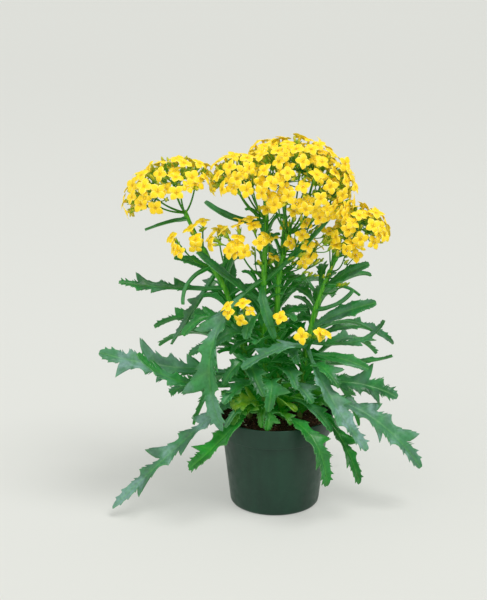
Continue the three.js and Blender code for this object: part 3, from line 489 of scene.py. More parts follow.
class Skin:
    """Closed lofts that make up one mesh. Each point has marks, the numbers that its materials read."""

    MARKS = ("along", "rib", "edge", "wax", "tint", "under", "age")

    def __init__(self):
        self.points, self.faces, self.slots = [], [], []
        self.marks = {mark: [] for mark in self.MARKS}
        self.count = 0

    def add(self, points, faces, slot, **marks):
        """Adds points, lists of faces of equal size, and a value or a value for each point to each mark."""
        self.points.append(points)
        for group in faces:
            self.faces.append(self.count + np.asarray(group))
            self.slots.append(np.full(len(group), slot))
        for mark, held in self.marks.items():
            held.append(np.broadcast_to(np.asarray(marks.get(mark, 0.0), float), len(points)))
        self.count += len(points)

    def loft(self, rings, slot=0, **marks):
        """A skin through rings of equal count, anticlockwise seen from ahead, closed at both ends."""
        rows, sides = rings.shape[:2]
        index = np.arange(rows * sides).reshape(rows, sides)
        beside = np.roll(index, -1, axis=1)
        first = np.full(sides, rows * sides)
        faces = (
            np.stack([index[:-1], beside[:-1], beside[1:], index[1:]], axis=-1).reshape(-1, 4),
            np.stack([first, beside[0], index[0]], axis=-1),
            np.stack([first + 1, index[-1], beside[-1]], axis=-1),
        )
        points = np.concatenate([rings.reshape(-1, 3), rings[[0, -1]].mean(axis=1)])
        for mark, value in marks.items():
            value = np.broadcast_to(value, (rows, sides))
            marks[mark] = np.concatenate([value.ravel(), value[[0, -1], 0]])
        self.add(points, faces, slot, **marks)

    def mesh(self, name):
        points = np.concatenate(self.points) * MM
        corners = np.concatenate([faces.ravel() for faces in self.faces])
        counts = np.concatenate([np.full(len(faces), faces.shape[1]) for faces in self.faces])
        slots = np.concatenate(self.slots)
        mesh = bpy.data.meshes.new(name)
        mesh.vertices.add(len(points))
        mesh.loops.add(len(corners))
        mesh.polygons.add(len(counts))
        for target, key, values, kind in (
            (mesh.vertices, "co", points.ravel(), np.float32),
            (mesh.loops, "vertex_index", corners, np.int32),
            (mesh.polygons, "loop_start", np.cumsum(counts) - counts, np.int32),
            (mesh.polygons, "loop_total", counts, np.int32),
            (mesh.polygons, "material_index", slots, np.int32),
            (mesh.polygons, "use_smooth", counts > 0, bool),
        ):
            target.foreach_set(key, values.astype(kind))
        for mark, held in self.marks.items():
            layer = mesh.attributes.new(mark, "FLOAT", "POINT")
            layer.data.foreach_set("value", np.concatenate(held).astype(np.float32))
        mesh.update(calc_edges=True)
        mesh.validate()
        return mesh


def stand(name, data):
    """An object that stands in the scene."""
    made = bpy.data.objects.new(name, data)
    bpy.context.scene.collection.objects.link(made)
    return made


def piece(name, skin, slot, materials, *nodes):
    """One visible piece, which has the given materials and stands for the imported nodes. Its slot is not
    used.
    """
    made = stand(name, skin.mesh(name))
    for material in materials:
        made.data.materials.append(material)
    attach(made, "root")
    if nodes:
        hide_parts(*nodes)
    return made


def spokes(axes, turn):
    """The ways that point at angles between two directions."""
    east, north = axes
    turn = np.asarray(turn)[..., None]
    return east * np.cos(turn) + north * np.sin(turn)


def round_rings(line, radii, sides):
    """Round rings along a line. radii holds a radius for each of its points, or for each point and side."""
    ahead = units(np.gradient(line, axis=0))
    level = np.stack([ahead[:, 2], np.full(len(line), 1e-3), -ahead[:, 0]], axis=-1)
    side = units(np.cross(level, ahead))
    across = np.cross(ahead, side)
    radii = np.asarray(radii, float).reshape(len(line), -1, 1)
    return line[:, None] + spokes((side[:, None], across[:, None]), circle(sides)) * radii


# Where rows cross each stretch of a leaf's edge, and the rows where a small extra tooth stands.
ROWS = {
    "petiole": (0, 0.2, 0.4, 0.6, 0.8),
    "base": (0, 0.25, 0.5, 0.75),
    "rise": (0, 0.1, 0.22, 0.27, 0.36, 0.48, 0.53, 0.62, 0.73, 0.78, 0.88, 0.95),
    "fall": (0, 0.07, 0.2, 0.4, 0.65),
    "lobe": (0, 0.15, 0.3, 0.36, 0.48, 0.64, 0.7, 0.85),
    "tip": (0, 0.1, 0.22, 0.28, 0.4, 0.5, 0.56, 0.7, 0.82, 0.9, 0.96, 1),
}
SMALL_TEETH = {"rise": (0.22, 0.48, 0.73), "lobe": (0.3, 0.64), "tip": (0.22, 0.5)}
# The two inner points of the curve that each stretch follows, as shares of its run and of its rise.
BENDS = {
    "petiole": ((0.3, 0), (0.7, 0.2)),
    "base": ((0.3, 0.1), (0.7, 0.9)),
    "rise": ((0.52, 0.04), (0.8, 0.7)),
    "fall": ((0.0, 0.35), (0.5, 1.0)),
    "lobe": ((0.35, 0.3), (0.7, 1.0)),
    "tip": ((0.4, 0.05), (0.97, 0.35)),
}


def half_width(spec, share):
    """From rib to edge between the teeth, which grows to the blade's widest at its peak."""
    along = (share - PETIOLE_SHARE) / (1 - PETIOLE_SHARE)
    even = along ** (math.log(0.5) / math.log(spec["peak"]))
    blade = max(0.0, 4 * even * (1 - even)) ** BLADE_BLUNTNESS
    return PETIOLE_HALF_WIDTH + (spec["width"] - PETIOLE_HALF_WIDTH) * blade


def leaf_stations(seed, spec, length):
    """The stations of a leaf: share along its rib, the stretch that ends there, and for both sides how far
    its edge stands forward, out and up."""
    teeth, cut = spec["teeth"], spec["cut"]
    lean = min(1, cut) * length * (LAST_TOOTH - PETIOLE_SHARE) / teeth
    stations = [
        (0.0, "petiole", [(0.0, PETIOLE_FOOT, 0.0)] * 2),
        (PETIOLE_SHARE, "petiole", [(0.0, PETIOLE_HALF_WIDTH, 0.0)] * 2),
    ]
    for i in range(teeth):
        share = mix(PETIOLE_SHARE, LAST_TOOTH, (i + 1) / teeth)
        half = half_width(spec, share)
        kind = "lobe" if i == teeth - 1 else ("rise" if i % 2 else ("fall" if i else "base"))
        edges = []
        for which in range(2):
            first, second, third = (draw(seed + 2 * i + which + part) for part in (0, 0.3, 0.6))
            grow, forward, wave = 1 - cut * (NOTCH_IN[0] + NOTCH_IN[1] * first), lean * STAGGER * which, 0.0
            if kind == "lobe":
                grow, forward = END_LOBE, 0.0
            elif kind == "rise":
                form = TOOTH if (i // 2 + which) % 2 else LOBE
                grow = 1 + cut * (form["out"][0] + form["out"][1] * first)
                forward += lean * (form["forward"][0] + form["forward"][1] * second)
                wave = TOOTH_WAVE * cut * (third - 0.5)
            edges.append((forward, half * grow, wave))
        stations.append((share, kind, edges))
    stations.append((1.0, "tip", [(0.0, TIP_HALF_WIDTH, 0.0)] * 2))
    return stations


def leaf_edges(seed, spec, length, step):
    """Rows across a leaf: their shares, how far both edges stand forward, out and up, and how near each row
    is to a side vein."""
    shares, edges, veins = [], [], []
    stations = leaf_stations(seed, spec, length)
    for (share0, _, edges0), (share1, kind, edges1) in zip(stations, stations[1:]):
        (run1, rise1), (run2, rise2) = BENDS[kind]
        for u in ROWS[kind][::step]:
            share = mix(share0, share1, u)
            weights = ((1 - u) ** 3, 3 * u * (1 - u) ** 2, 3 * u * u * (1 - u), u**3)
            row = []
            for (forward0, out0, wave0), (forward1, out1, wave1) in zip(edges0, edges1):
                x0, x1 = share0 * length + forward0, share1 * length + forward1
                x = np.dot(weights, (x0, mix(x0, x1, run1), mix(x0, x1, run2), x1))
                y = np.dot(weights, (out0, mix(out0, out1, rise1), mix(out0, out1, rise2), out1))
                if u in SMALL_TEETH.get(kind, ()):
                    tooth = SMALL_TOOTH * spec["width"] * min(1, spec["cut"] * 1.5) * (0.5 + draw(seed + x))
                    y += tooth
                    x += 0.7 * tooth
                row.append((x - share * length, y, mix(wave0, wave1, smooth(u))))
            shares.append(share)
            edges.append(row)
            veins.append({"rise": u, "fall": 1 - u}.get(kind, 0.0))
    return np.array(shares)[:, None], np.array(edges), np.array(veins)[:, None]


def add_leaf(skin, stem, index, spec, slot, columns=COLUMNS, step=1):
    """A leaf blade with its petiole. step leaves out rows of a small leaf."""
    base = stem["curve"].at_height(spec["z"])
    seed = stem["seed"] * 1000 + index * 40
    via, tip = vec(spec["via"]), vec(spec["tip"])
    bend = 2 * via - (base + tip) / 2
    length = np.linalg.norm(via - base) + np.linalg.norm(tip - via)
    heading = unit((tip - base) * (1, 1, 0))
    s, edges, veins = leaf_edges(seed, spec, length, step)

    middle = (1 - s) ** 2 * base + 2 * (1 - s) * s * bend + s**2 * tip
    ahead = units((1 - s) * (bend - base) + s * (tip - bend))
    up = units(np.cross((heading[1], -heading[0], 0.0), ahead))
    side = np.cross(ahead, up)
    roll = math.radians(spec["roll"])
    across = (side * math.cos(roll) + up * math.sin(roll))[:, None]
    face = (up * math.cos(roll) - side * math.sin(roll))[:, None]
    middle, ahead = middle[:, None], ahead[:, None]

    petiole = 1 - smooth((s - PETIOLE_SHARE) / PETIOLE_FADE)
    ripple = RIPPLE["height"] * np.sin(s * length / RIPPLE["pace"] + 7 * draw(seed + 0.5))
    ripple = ripple * (1 - petiole) * min(1, length / RIPPLE["full_from"])
    c = columns[None, :]
    halves = []
    for sign, which in ((-1, 1), (1, 0)):
        forward, out, wave = (edges[:, which, part][:, None] for part in range(3))
        y = out * c
        puffed = 0.1 * out * np.sin(math.pi * c) * (1 - 0.75 * veins * (1 - c))
        groove = hump(y, *GROOVE) * (1 - 0.4 * s)
        height = y * math.sin(FOLD) + wave * c**2 + puffed - groove + ripple * c**2 * sign
        keel = hump(y, *KEEL) * (1 - 0.8 * s)
        thick = mix(BLADE_EDGE, BLADE_RIB, (1 - c) ** 1.3) + keel + petiole * (1 - c)
        flat = sign * y * math.cos(FOLD)
        top, bottom = (
            spread(middle, (across, flat * inset), (ahead, forward * c**1.3), (face, rise))
            for inset, rise in ((1, height), (UNDERSIDE_INSET, height - thick))
        )
        vein = np.maximum(hump(y, *VEIN), 0.75 * np.clip(veins, 0, 1) ** 5 * (1 - c) * (c > 0))
        rim = (top[:, -1:] + bottom[:, -1:]) / 2 + across * sign * RIM_OUT
        order = slice(None, None, -1) if sign < 0 else slice(1, None)
        halves.append((top[:, order], bottom[:, order][:, ::-1], rim, vein[:, order]))
    (left, left_under, left_rim, left_vein), (right, right_under, right_rim, right_vein) = halves
    rings = np.concatenate([left, right, right_rim, right_under, left_under, left_rim], axis=1)
    vein = np.concatenate([left_vein, right_vein, 0 * s], axis=1)
    vein = np.concatenate([vein, vein[:, -2::-1], 0 * s], axis=1)
    # The edge mark, for the paler rims: partly their own colour, partly a painted highlight along them.
    rim_at = 2 * len(columns) - 1
    edge = np.zeros(rings.shape[1])
    edge[[0, rim_at - 1]], edge[[rim_at, -1]] = 0.45, 1.0
    under = np.repeat([0.0, 1.0], rim_at + 1)
    skin.loft(rings, slot, along=s, rib=vein, edge=edge, wax=spec["wax"], tint=draw(seed + 0.7),
              under=under, age=spec["age"])


def add_shoots(skin, stem, slot):
    """Small young leaves that grow in the axils, two or three at each height, turned on from pair to pair.
    Higher up they are shorter, slim and upright, and leave the front of the stem bare."""
    for i, z in enumerate(np.arange(*stem["shoots"])):
        base = stem["curve"].at_height(z)
        slim = smooth((z - SLIM_FROM) / SLIM_OVER)
        for k in range(SHOOT_LEAVES[i % 2]):
            seed = stem["seed"] * 100 + 7 * i + k
            turn = i * GOLDEN_TURN + k * 2 * math.pi / SHOOT_LEAVES[i % 2] + draw(seed)
            if z > CLEAR_FRONT_FROM and math.sin(turn) < -0.1:
                continue
            reach = mix(*SHOOT_REACH, draw(seed + 0.2)) * (1 - 0.45 * slim)
            out = np.array([math.cos(turn), math.sin(turn), 0]) * reach
            rise = (mix(*SHOOT_RISE, draw(seed + 0.4)) + 0.6 * slim) * reach
            width = reach / mix(*SHOOT_SLENDERNESS, draw(seed + 0.6)) * (1 - 0.3 * slim)
            via, tip = base + out * 0.5 + (0, 0, rise * 0.9), base + out + (0, 0, rise)
            roll = 60 * draw(seed + 0.8) - 30
            spec = leaf(z, via, tip, width, 4, 0.8 - 0.5 * slim, roll, SHOOT_WAX_AND_SHEEN)
            add_leaf(skin, stem, 100 + 3 * i + k, spec, slot, SHOOT_COLUMNS, step=2)


def add_ray(skin, start, hub, slot):
    """A flower ray, which leaves the stem sideways and curves up to its hub."""
    bend = start + (hub - start) * (1, 1, RAY_RISE) * RAY_BEND
    line = arc(start, bend, hub, 16)
    share = np.linspace(0, 1, len(line))
    radii = mix(*RAY_RADII, share) + hump(share, *RAY_FOOT_HUMP) + hump(1 - share, *RAY_HEAD_HUMP)
    skin.loft(round_rings(line, radii, 8), slot, along=0.5 + 0.5 * share[:, None], tint=1)


def make_leafy_stem(name, stem, cymes):
    """A ridged stem that swells where leaves and rays leave it, with all of them."""
    skin = Skin()
    blade, bark = 0, 1
    share = np.linspace(0, 1, 110)
    line = np.array([stem["curve"].at(at) for at in share])
    nodes = [spec["z"] for spec in stem["leaves"]] + [cyme["start"][2] for cyme in cymes]
    swelling = sum(hump(line[:, 2] - z, *NODE_HUMP) for z in nodes)
    radii = mix(*stem["radii"], share) * (1 + np.minimum(swelling, MOST_SWELLING))
    ridges = 1 + STEM_RIDGES["height"] * np.cos(STEM_RIDGES["count"] * circle(20))
    skin.loft(round_rings(line, radii[:, None] * ridges, 20), bark, along=share[:, None] * 0.5)
    for index, spec in enumerate(stem["leaves"]):
        add_leaf(skin, stem, index, spec, blade)
    for index, spec in enumerate(stem.get("basal", ())):
        add_leaf(skin, stem, 60 + index, spec, blade, SHOOT_COLUMNS)
    add_shoots(skin, stem, blade)
    for cyme in cymes:
        add_ray(skin, cyme["start"], cyme["hub"], bark)
    piece("foliage_" + name, skin, "foliage", [LEAF, STEM], "leafy_stem_" + name)


def tipped(way, degrees):
    """A direction tipped about the front axis, so that its left side sinks."""
    turn = math.radians(-degrees)
    x, y, z = way
    return np.array([x * math.cos(turn) + z * math.sin(turn), y, z * math.cos(turn) - x * math.sin(turn)])


def dome_point(head, share, turn):
    rise = 1 - (1 - head["floor"]) * share
    flat = math.sqrt(max(0.0, 1 - rise * rise))
    way = np.array([flat * math.cos(turn), flat * math.sin(turn), rise]) * head["reach"]
    return vec(head["centre"]) + tipped(way, head["tilt"])


def spiral(head, count, phase):
    return [dome_point(head, (i + 0.5) / count, i * GOLDEN_TURN + phase) for i in range(count)]


def depth_in(head, point):
    """How far a point lies from a head's middle, where 1 is on its dome."""
    return np.linalg.norm(tipped(point - vec(head["centre"]), -head["tilt"]) / head["reach"])


def outward(head, point):
    """The way that a head's dome faces at a point."""
    level = tipped(point - vec(head["centre"]), -head["tilt"])
    return tipped(unit(level / head["reach"] / head["reach"]), head["tilt"])


def place_blooms():
    """Spreads all blooms over their domes until neighbours stand clear of each other."""
    blooms = []
    for h, head in enumerate(HEADS):
        others = [other for other in HEADS if other is not head]
        spots = spiral(head, head["blooms"], h)
        spots = [at for at in spots if all(depth_in(other, at) > 1 for other in others)]
        for i, at in enumerate(spots):
            blooms.append(dict(head=head, at=at, swell=BLOOM_SWELL[i % 2], seed=h * 100 + i))
    for _ in range(SPREADING_ROUNDS):
        for i, one in enumerate(blooms):
            for other in blooms[i + 1 :]:
                apart = one["at"] - other["at"]
                square = apart[0] * apart[0] + apart[1] * apart[1] + apart[2] * apart[2]
                if square >= BLOOM_SPACING**2:
                    continue
                length = math.sqrt(square)
                apart = apart * ((BLOOM_SPACING - length) / 4 / length)
                one["at"] = one["at"] + apart
                other["at"] = other["at"] - apart
        for bloom in blooms:
            centre = vec(bloom["head"]["centre"])
            bloom["at"] = mix(centre, bloom["at"], bloom["swell"] / depth_in(bloom["head"], bloom["at"]))
    for bloom in blooms:
        bloom["out"] = outward(bloom["head"], bloom["at"])
    return blooms


def make_cyme(stem, height, own, hub_share):
    """The blooms that one ray carries, and the hub where their pedicels part."""
    start = STEMS[stem]["curve"].at_height(height)
    mean = sum(bloom["at"] for bloom in own) / len(own)
    return dict(stem=stem, start=start, hub=mix(start, mean, hub_share), own=own)


def cymes_of(head, blooms):
    """Splits a head's blooms among its cymes."""
    middles = spiral(head, head["cymes"], 0.7)
    groups = [[] for _ in middles]
    for bloom in blooms:
        if bloom["head"] is head:
            nearest = min(range(len(middles)), key=lambda m: np.linalg.norm(bloom["at"] - middles[m]))
            groups[nearest].append(bloom)
    return [make_cyme(head["stem"], head["start"], group, HEAD_HUB_SHARE) for group in groups if group]


def cyme_of(number, stem, height, spots):
    """A spray's cyme. Its blooms face out from its hub."""
    own = [dict(at=vec(at), seed=900 + 10 * number + i) for i, at in enumerate(spots)]
    cyme = make_cyme(stem, height, own, SPRAY_HUB_SHARE)
    for bloom in own:
        bloom["out"] = unit(bloom["at"] - cyme["hub"])
    return cyme


def axes_of(face):
    """Two directions square to the way that a flower faces."""
    east = unit(np.cross((face[1], -face[0], 1e-3), face))
    return east, np.cross(face, east)


def quarters(axes, spin):
    """Four ways at right angles."""
    return [spokes(axes, spin + k * math.pi / 2) for k in range(4)]


def add_petals(skin, centre, face, spin, seed, scale, plain):
    """Four pointed petals, each arched along its middle and curled back a little at its tip. A bloom that
    stands deep in its head has plain ones of fewer faces."""
    rows, columns = (PLAIN_ROWS, PLAIN_COLUMNS) if plain else (slice(None), slice(None))
    t, v = PETAL_SHARES[rows, None], PETAL_COLUMNS[None, columns]
    for petal, out in enumerate(quarters(axes_of(face), spin)):
        beside = np.cross(face, out)
        size = mix(*PETAL_SIZE, draw(seed + 0.11 * petal)) * scale
        lift = (draw(seed + 0.13 * petal + 3) - 0.4) * PETAL_LIFT
        twist = (draw(seed + 0.17 * petal + 5) - 0.5) * PETAL_TWIST
        x = mix(THROAT_RADIUS, BLOOM_RADIUS * size, t) + 0 * v
        y = PETAL_HALF_WIDTH * size * PETAL_WIDTHS[rows, None] * v
        arch = PETAL_ARCH * np.sin(math.pi * t**0.8) + lift * t**1.5 - PETAL_CURL * t**3
        cup = -PETAL_CUP * v**2 * np.sin(math.pi * t)
        crease = hump(v, *PETAL_CREASE) * (1 - t)
        z = arch + (cup - crease) + twist * y * t
        thick = PETAL_THICKNESS * (1 - 0.45 * t) * (1 - 0.5 * v**2)
        flat = spread(centre, (out, x), (beside, y))
        rings = [spread(flat, (face, z)), spread(flat, (face, z - thick))[:, ::-1]]
        skin.loft(np.concatenate(rings, axis=1), along=t, rib=np.tile(np.abs(v), 2),
                  tint=draw(seed + 0.29), under=np.repeat([0.0, 1.0], v.size))


def add_round(skin, centre, axis, outline, slot, scale=1.0, sides=8, **marks):
    """A round part on an axis that points out of the flower."""
    down, radius = (np.array(outline) * scale).T
    around = spokes(axes_of(axis), circle(sides))
    rings = centre - axis * down[:, None, None] + around * radius[:, None, None]
    skin.loft(rings, slot, along=np.clip(1 - down / 9, 0, 1)[:, None], **marks)


def add_sepals(skin, centre, axis, spin, scale, tint):
    """Four narrow green sepals that clasp the foot of the flower's tube."""
    t, v = SEPAL_SHARES[:, None], np.array([1.0, 0, -1.0])[None, :]
    up = SEPAL_LENGTH * t - SEPAL_FOOT + 0 * v
    reach = 1.0 + 1.3 * np.sin(1.9 * t) + 0.9 * t**3 - 0.25 * v**2
    half = SEPAL_HALF_WIDTH * SEPAL_WIDTHS[:, None] * v
    for out in quarters(axes_of(axis), spin + math.pi / 4):
        flat = spread(0, (axis, up), (np.cross(axis, out), half))
        rings = [spread(flat, (out, reach - 0.1)), spread(flat, (out, reach + 0.3))[:, ::-1]]
        skin.loft(centre + scale * np.concatenate(rings, axis=1), along=0.7 + 0.3 * t, tint=tint)


def add_pedicel(skin, hub, centre, axis, scale, tint):
    """A thin green stalk from the hub to the foot of a flower's tube, where it widens under the sepals."""
    foot = centre - axis * TUBE_FOOT * scale
    gap = np.linalg.norm(foot - hub)
    line = arc(hub, foot - axis * gap * 0.45, foot, 7)
    share = np.linspace(0, 1, len(line))
    radii = PEDICEL_RADIUS * (1 + hump(share, 0.25, 0.1)) + hump(1 - share, 0.75 * scale, 0.13)
    skin.loft(round_rings(line, radii, 5), along=0.2 + 0.5 * share[:, None] ** 2, tint=tint)


def add_bloom(petals, stalks, at, out, hub, seed, size=1.0, plain=False):
    """An open bloom on its pedicel, which leans a little away from the way out of its head. Its tube is
    smaller where the pedicel is short."""
    face = unit(out + (0, 0, 0.1) + jitter(seed, (0, 0.3, 0.6)) * mix(*BLOOM_LEAN, draw(seed + 0.77)))
    spin = draw(seed + 0.9) * math.pi
    axis = unit(mix(face, unit(at - hub), 0.3))
    scale = size * min(1.0, np.linalg.norm(at - hub) / FULL_PEDICEL)
    tint = draw(seed + 0.41)
    add_petals(petals, at, face, spin, seed, size, plain)
    add_round(petals, at, axis, TUBE_OUTLINE, 1, scale, 5 if plain else 8, tint=tint)
    add_pedicel(stalks, hub, at, axis, scale, tint)
    if plain:
        return
    for way in quarters(axes_of(face), spin + math.pi / 4):
        add_round(petals, at + way * ANTHER_CIRCLE_RADIUS, face, ANTHER_OUTLINE, 2, sides=5)
    add_sepals(stalks, at, axis, spin, scale, tint)


def add_bud(petals, stalks, at, out, hub, seed):
    """A closed bud. A large one is about to open and turns yellow."""
    size = mix(*BUD_SIZE, draw(seed))
    axis = unit(out + 0.5 * jitter(seed, (0.2, 0.4, 0.6)))
    add_round(petals, at, axis, BUD_OUTLINE, 1, size, tint=draw(seed + 0.7), under=1.5 - size)
    add_sepals(stalks, at, axis, 6 * draw(seed + 0.8), size, draw(seed + 0.9))
    add_pedicel(stalks, hub, at, axis, size, draw(seed + 0.9))


def spray_gaps(cymes):
    """Two places near each bloom of a spray, each with the way it faces and the hub its stalk comes from."""
    for cyme in cymes:
        for bloom in cyme["own"]:
            for k in range(2):
                seed = bloom["seed"] * 3.7 + k
                at = mix(cyme["hub"], bloom["at"], SPRAY_GAP_SHARE)
                at = at + SPRAY_GAP_WANDER * jitter(seed, (0.3, 0.5, 0.8))
                yield at, unit(at - cyme["hub"]), cyme["hub"], seed


def head_gaps(cymes, head):
    """Places all over a head's dome and just under it, given as by spray_gaps."""
    count = int(head["blooms"] * FILLER_CROWDING)
    for i in range(count):
        seed = head["blooms"] * 31 + i * 1.3
        spot = dome_point(head, (i + 0.5) / count, i * GOLDEN_TURN + 2)
        at = mix(vec(head["centre"]), spot, mix(*FILLER_DEPTH, draw(seed)))
        hub = min((cyme["hub"] for cyme in cymes), key=lambda hub: np.linalg.norm(at - hub))
        yield at, outward(head, at), hub, seed


def add_fillers(petals, stalks, cymes, head):
    """Smaller blooms and buds in the gaps between blooms."""
    taken = [bloom["at"] for cyme in cymes for bloom in cyme["own"]]
    small_blooms = head["small_blooms"] if head else SPRAY_SMALL_BLOOMS
    for at, out, hub, seed in head_gaps(cymes, head) if head else spray_gaps(cymes):
        if min(np.linalg.norm(at - other) for other in taken) < FILLER_SPACING:
            continue
        if any(other is not head and depth_in(other, at) < CLEAR_OF_DOMES for other in HEADS):
            continue
        taken.append(at)
        if draw(seed + 0.15) < small_blooms:
            size = mix(*FILLER_BLOOM_SIZE, draw(seed + 0.25))
            add_bloom(petals, stalks, at, out, hub, seed, size, plain=True)
        else:
            add_bud(petals, stalks, at, out, hub, seed)


def make_inner_rays():
    """Thin rays in the shade under the crown. Each ends in a small bloom or a bud, with two more buds."""
    petals, stalks = Skin(), Skin()
    for i, (stem, z, spot, opened) in enumerate(INNER_RAYS):
        start, at = STEMS[stem]["curve"].at_height(z), vec(spot)
        hub = mix(start, at, INNER_HUB_SHARE) - (0, 0, INNER_HUB_DROP)
        line = arc(start, start + (hub - start) * (INNER_RAY_BEND, INNER_RAY_BEND, 0), hub, 12)
        share = np.linspace(0, 1, len(line))
        stalks.loft(round_rings(line, mix(*INNER_RAY_RADII, share), 6))
        out = unit(unit(at - start) + (0, -0.5, 0.2))
        if opened:
            add_bloom(petals, stalks, at, out, hub, 700 + i, INNER_BLOOM_SIZE)
        else:
            add_bud(petals, stalks, at, out, hub, 700 + i)
        for k in range(2):
            aside = jitter(i * 3.1 + k, (0.3, 0.5, 0.8)) * INNER_BUD_WANDER
            add_bud(petals, stalks, mix(hub, at, 0.8) + aside, out, hub, 740 + 2 * i + k)
    make_flowers("inner", petals, stalks)


def add_hub(stalks, cyme, seed):
    """The knot where a cyme's pedicels part, with two small flat bracts."""
    hub = cyme["hub"]
    out = unit(hub - cyme["start"])
    add_round(stalks, hub, out, HUB_OUTLINE, 0, tint=0.4)
    for k in range(2):
        way = unit(spokes(axes_of(out), 6 * draw(seed) + math.pi * k) + 0.9 * out)
        line = arc(hub, hub + way * 4, hub + way * BRACT_LENGTH - (0, 0, BRACT_DROP), len(BRACT_RADII))
        middle = line[:, None]
        from_middle = round_rings(line, BRACT_RADII, 8) - middle
        level = units(np.cross(np.gradient(line, axis=0), (0, 0, 1.0)))[:, None]
        wide = (from_middle * level).sum(axis=2, keepdims=True) * level
        stalks.loft(middle + wide + (from_middle - wide) * BRACT_FLATNESS, along=0.6, tint=0.3)


def make_flowers(name, petals, stalks, *nodes):
    piece("blooms_" + name, petals, "petals", [PETAL, COROLLA_TUBE, ANTHER], *nodes)
    piece("stalks_" + name, stalks, "foliage", [STALK], *nodes)


def make_inflorescence(name, cymes, nodes, head=None):
    """The blooms, buds and stalks of a head or a spray."""
    petals, stalks = Skin(), Skin()
    for cyme in cymes:
        for bloom in cyme["own"]:
            size = mix(*BLOOM_SIZE, draw(bloom["seed"] + 0.51))
            add_bloom(petals, stalks, bloom["at"], bloom["out"], cyme["hub"], bloom["seed"], size)
        add_hub(stalks, cyme, cyme["own"][0]["seed"] + 0.5)
    add_fillers(petals, stalks, cymes, head)
    make_flowers(name, petals, stalks, *nodes)


def collar_radius(z):
    return mix(POT_COLLAR_RADIUS, POT_RIM_RADIUS, (z - COLLAR_FOOT) / POT_COLLAR_DROP)


def rounded(corners):
    """An outline through corners (radius, height, size of its round)."""
    points = [vec(corners[0][:2])]
    for before, corner, after in zip(corners, corners[1:], corners[2:]):
        at, size = vec(corner[:2]), corner[2]
        back, on = unit(vec(before[:2]) - at), unit(vec(after[:2]) - at)
        points += list(arc(at + back * size, at, at + on * size, 5)) if size else [at]
    return np.array(points + [vec(corners[-1][:2])])


def level_rings(radius, height, turn):
    """Rings about the pot's axis."""
    return np.stack([radius * np.cos(turn), radius * np.sin(turn), height + 0 * turn], axis=-1)


def make_pot():
    inside = COLLAR_FOOT + POT_WALL
    lip = POT_WALL * 0.48
    (recess_in, recess_out), recess = FOOT_RECESS["radii"], FOOT_RECESS["depth"]
    outline = rounded([
        (0.01, 0, 0),
        (recess_in, 0, 0.4),
        (recess_in + recess, recess, 0.2),
        (recess_out, recess, 0.2),
        (recess_out + recess, 0, 0.4),
        (POT_FOOT_RADIUS, 0, POT_FOOT_ROUND),
        (POT_NECK_RADIUS, COLLAR_FOOT, 0.5),
        (POT_COLLAR_RADIUS, COLLAR_FOOT + 0.4, 0.5),
        (POT_RIM_RADIUS, POT_HEIGHT, lip),
        (POT_RIM_RADIUS - POT_WALL, POT_HEIGHT, lip),
        (collar_radius(inside) - POT_WALL, inside, 0.8),
        (POT_NECK_RADIUS - POT_WALL, COLLAR_FOOT - 1, 0.8),
        (POT_FOOT_RADIUS - POT_WALL, POT_FLOOR, 3),
        (0.01, POT_FLOOR, 0),
    ])
    skin, drains = Skin(), Skin()
    skin.loft(level_rings(outline[:, :1], outline[:, 1:], -circle(192)))
    pot = piece("nursery_pot", skin, "pot", [POLYPROPYLENE], "pot")
    for turn in circle(DRAIN_COUNT) + math.pi / DRAIN_COUNT:
        x, y = DRAIN_CIRCLE_RADIUS * math.cos(turn), DRAIN_CIRCLE_RADIUS * math.sin(turn)
        line = np.array([(x, y, z) for z in (-3.0, 1.0, 6.0)])
        drains.loft(round_rings(line, [DRAIN_RADIUS] * 3, 32))
    cutter = stand("drains", drains.mesh("drains"))
    cut = pot.modifiers.new("drain_holes", "BOOLEAN")
    cut.object, cut.operation, cut.solver = cutter, "DIFFERENCE", "EXACT"
    bpy.context.view_layer.update()
    made = bpy.data.meshes.new_from_object(pot.evaluated_get(bpy.context.evaluated_depsgraph_get()))
    pot.modifiers.clear()
    pot.data = made
    bpy.data.objects.remove(cutter)


def soil_height(x, y):
    """Two crossing waves, with finer lumps on them."""
    waves = np.sin(x * 0.31 + 1) * np.cos(y * 0.27) + 0.6 * np.sin(x * 0.17 - y * 0.43)
    for high, wide, level in SOIL_LUMPS:
        waves += [high * noise.noise(Vector((a / wide, b / wide, level))) for a, b in zip(x, y)]
    return SOIL_TOP + waves


def make_soil():
    turn = circle(160)
    edge = SOIL_TOP - SOIL_EDGE_DROP
    clear = POT_WALL + SOIL_CLEARANCE
    walls = [
        (POT_FOOT_RADIUS - 8, POT_FLOOR + SOIL_CLEARANCE),
        (mix(POT_FOOT_RADIUS, POT_NECK_RADIUS, 5 / COLLAR_FOOT) - clear, 5),
        (POT_NECK_RADIUS - clear, COLLAR_FOOT - 0.6),
        (collar_radius(COLLAR_FOOT + 2) - clear, COLLAR_FOOT + 2),
        (collar_radius(edge) - clear, edge),
    ]
    rings = [level_rings(radius, z, turn) for radius, z in walls]
    for radius in np.linspace(collar_radius(edge) - clear - 0.8, 0.6, 60):
        height = soil_height(radius * np.cos(turn), radius * np.sin(turn))
        rings.append(level_rings(radius, height, turn))
    skin = Skin()
    skin.loft(np.array(rings))
    piece("potting_soil", skin, "soil", [PEAT], "soil")


CRUMB_FACES = (
    (0, 11, 5), (0, 5, 1), (0, 1, 7), (0, 7, 10), (0, 10, 11), (1, 5, 9), (5, 11, 4), (11, 10, 2),
    (10, 7, 6), (7, 1, 8), (3, 9, 4), (3, 4, 2), (3, 2, 6), (3, 6, 8), (3, 8, 9), (4, 9, 5),
    (2, 4, 11), (6, 2, 10), (8, 6, 7), (9, 8, 1),
)


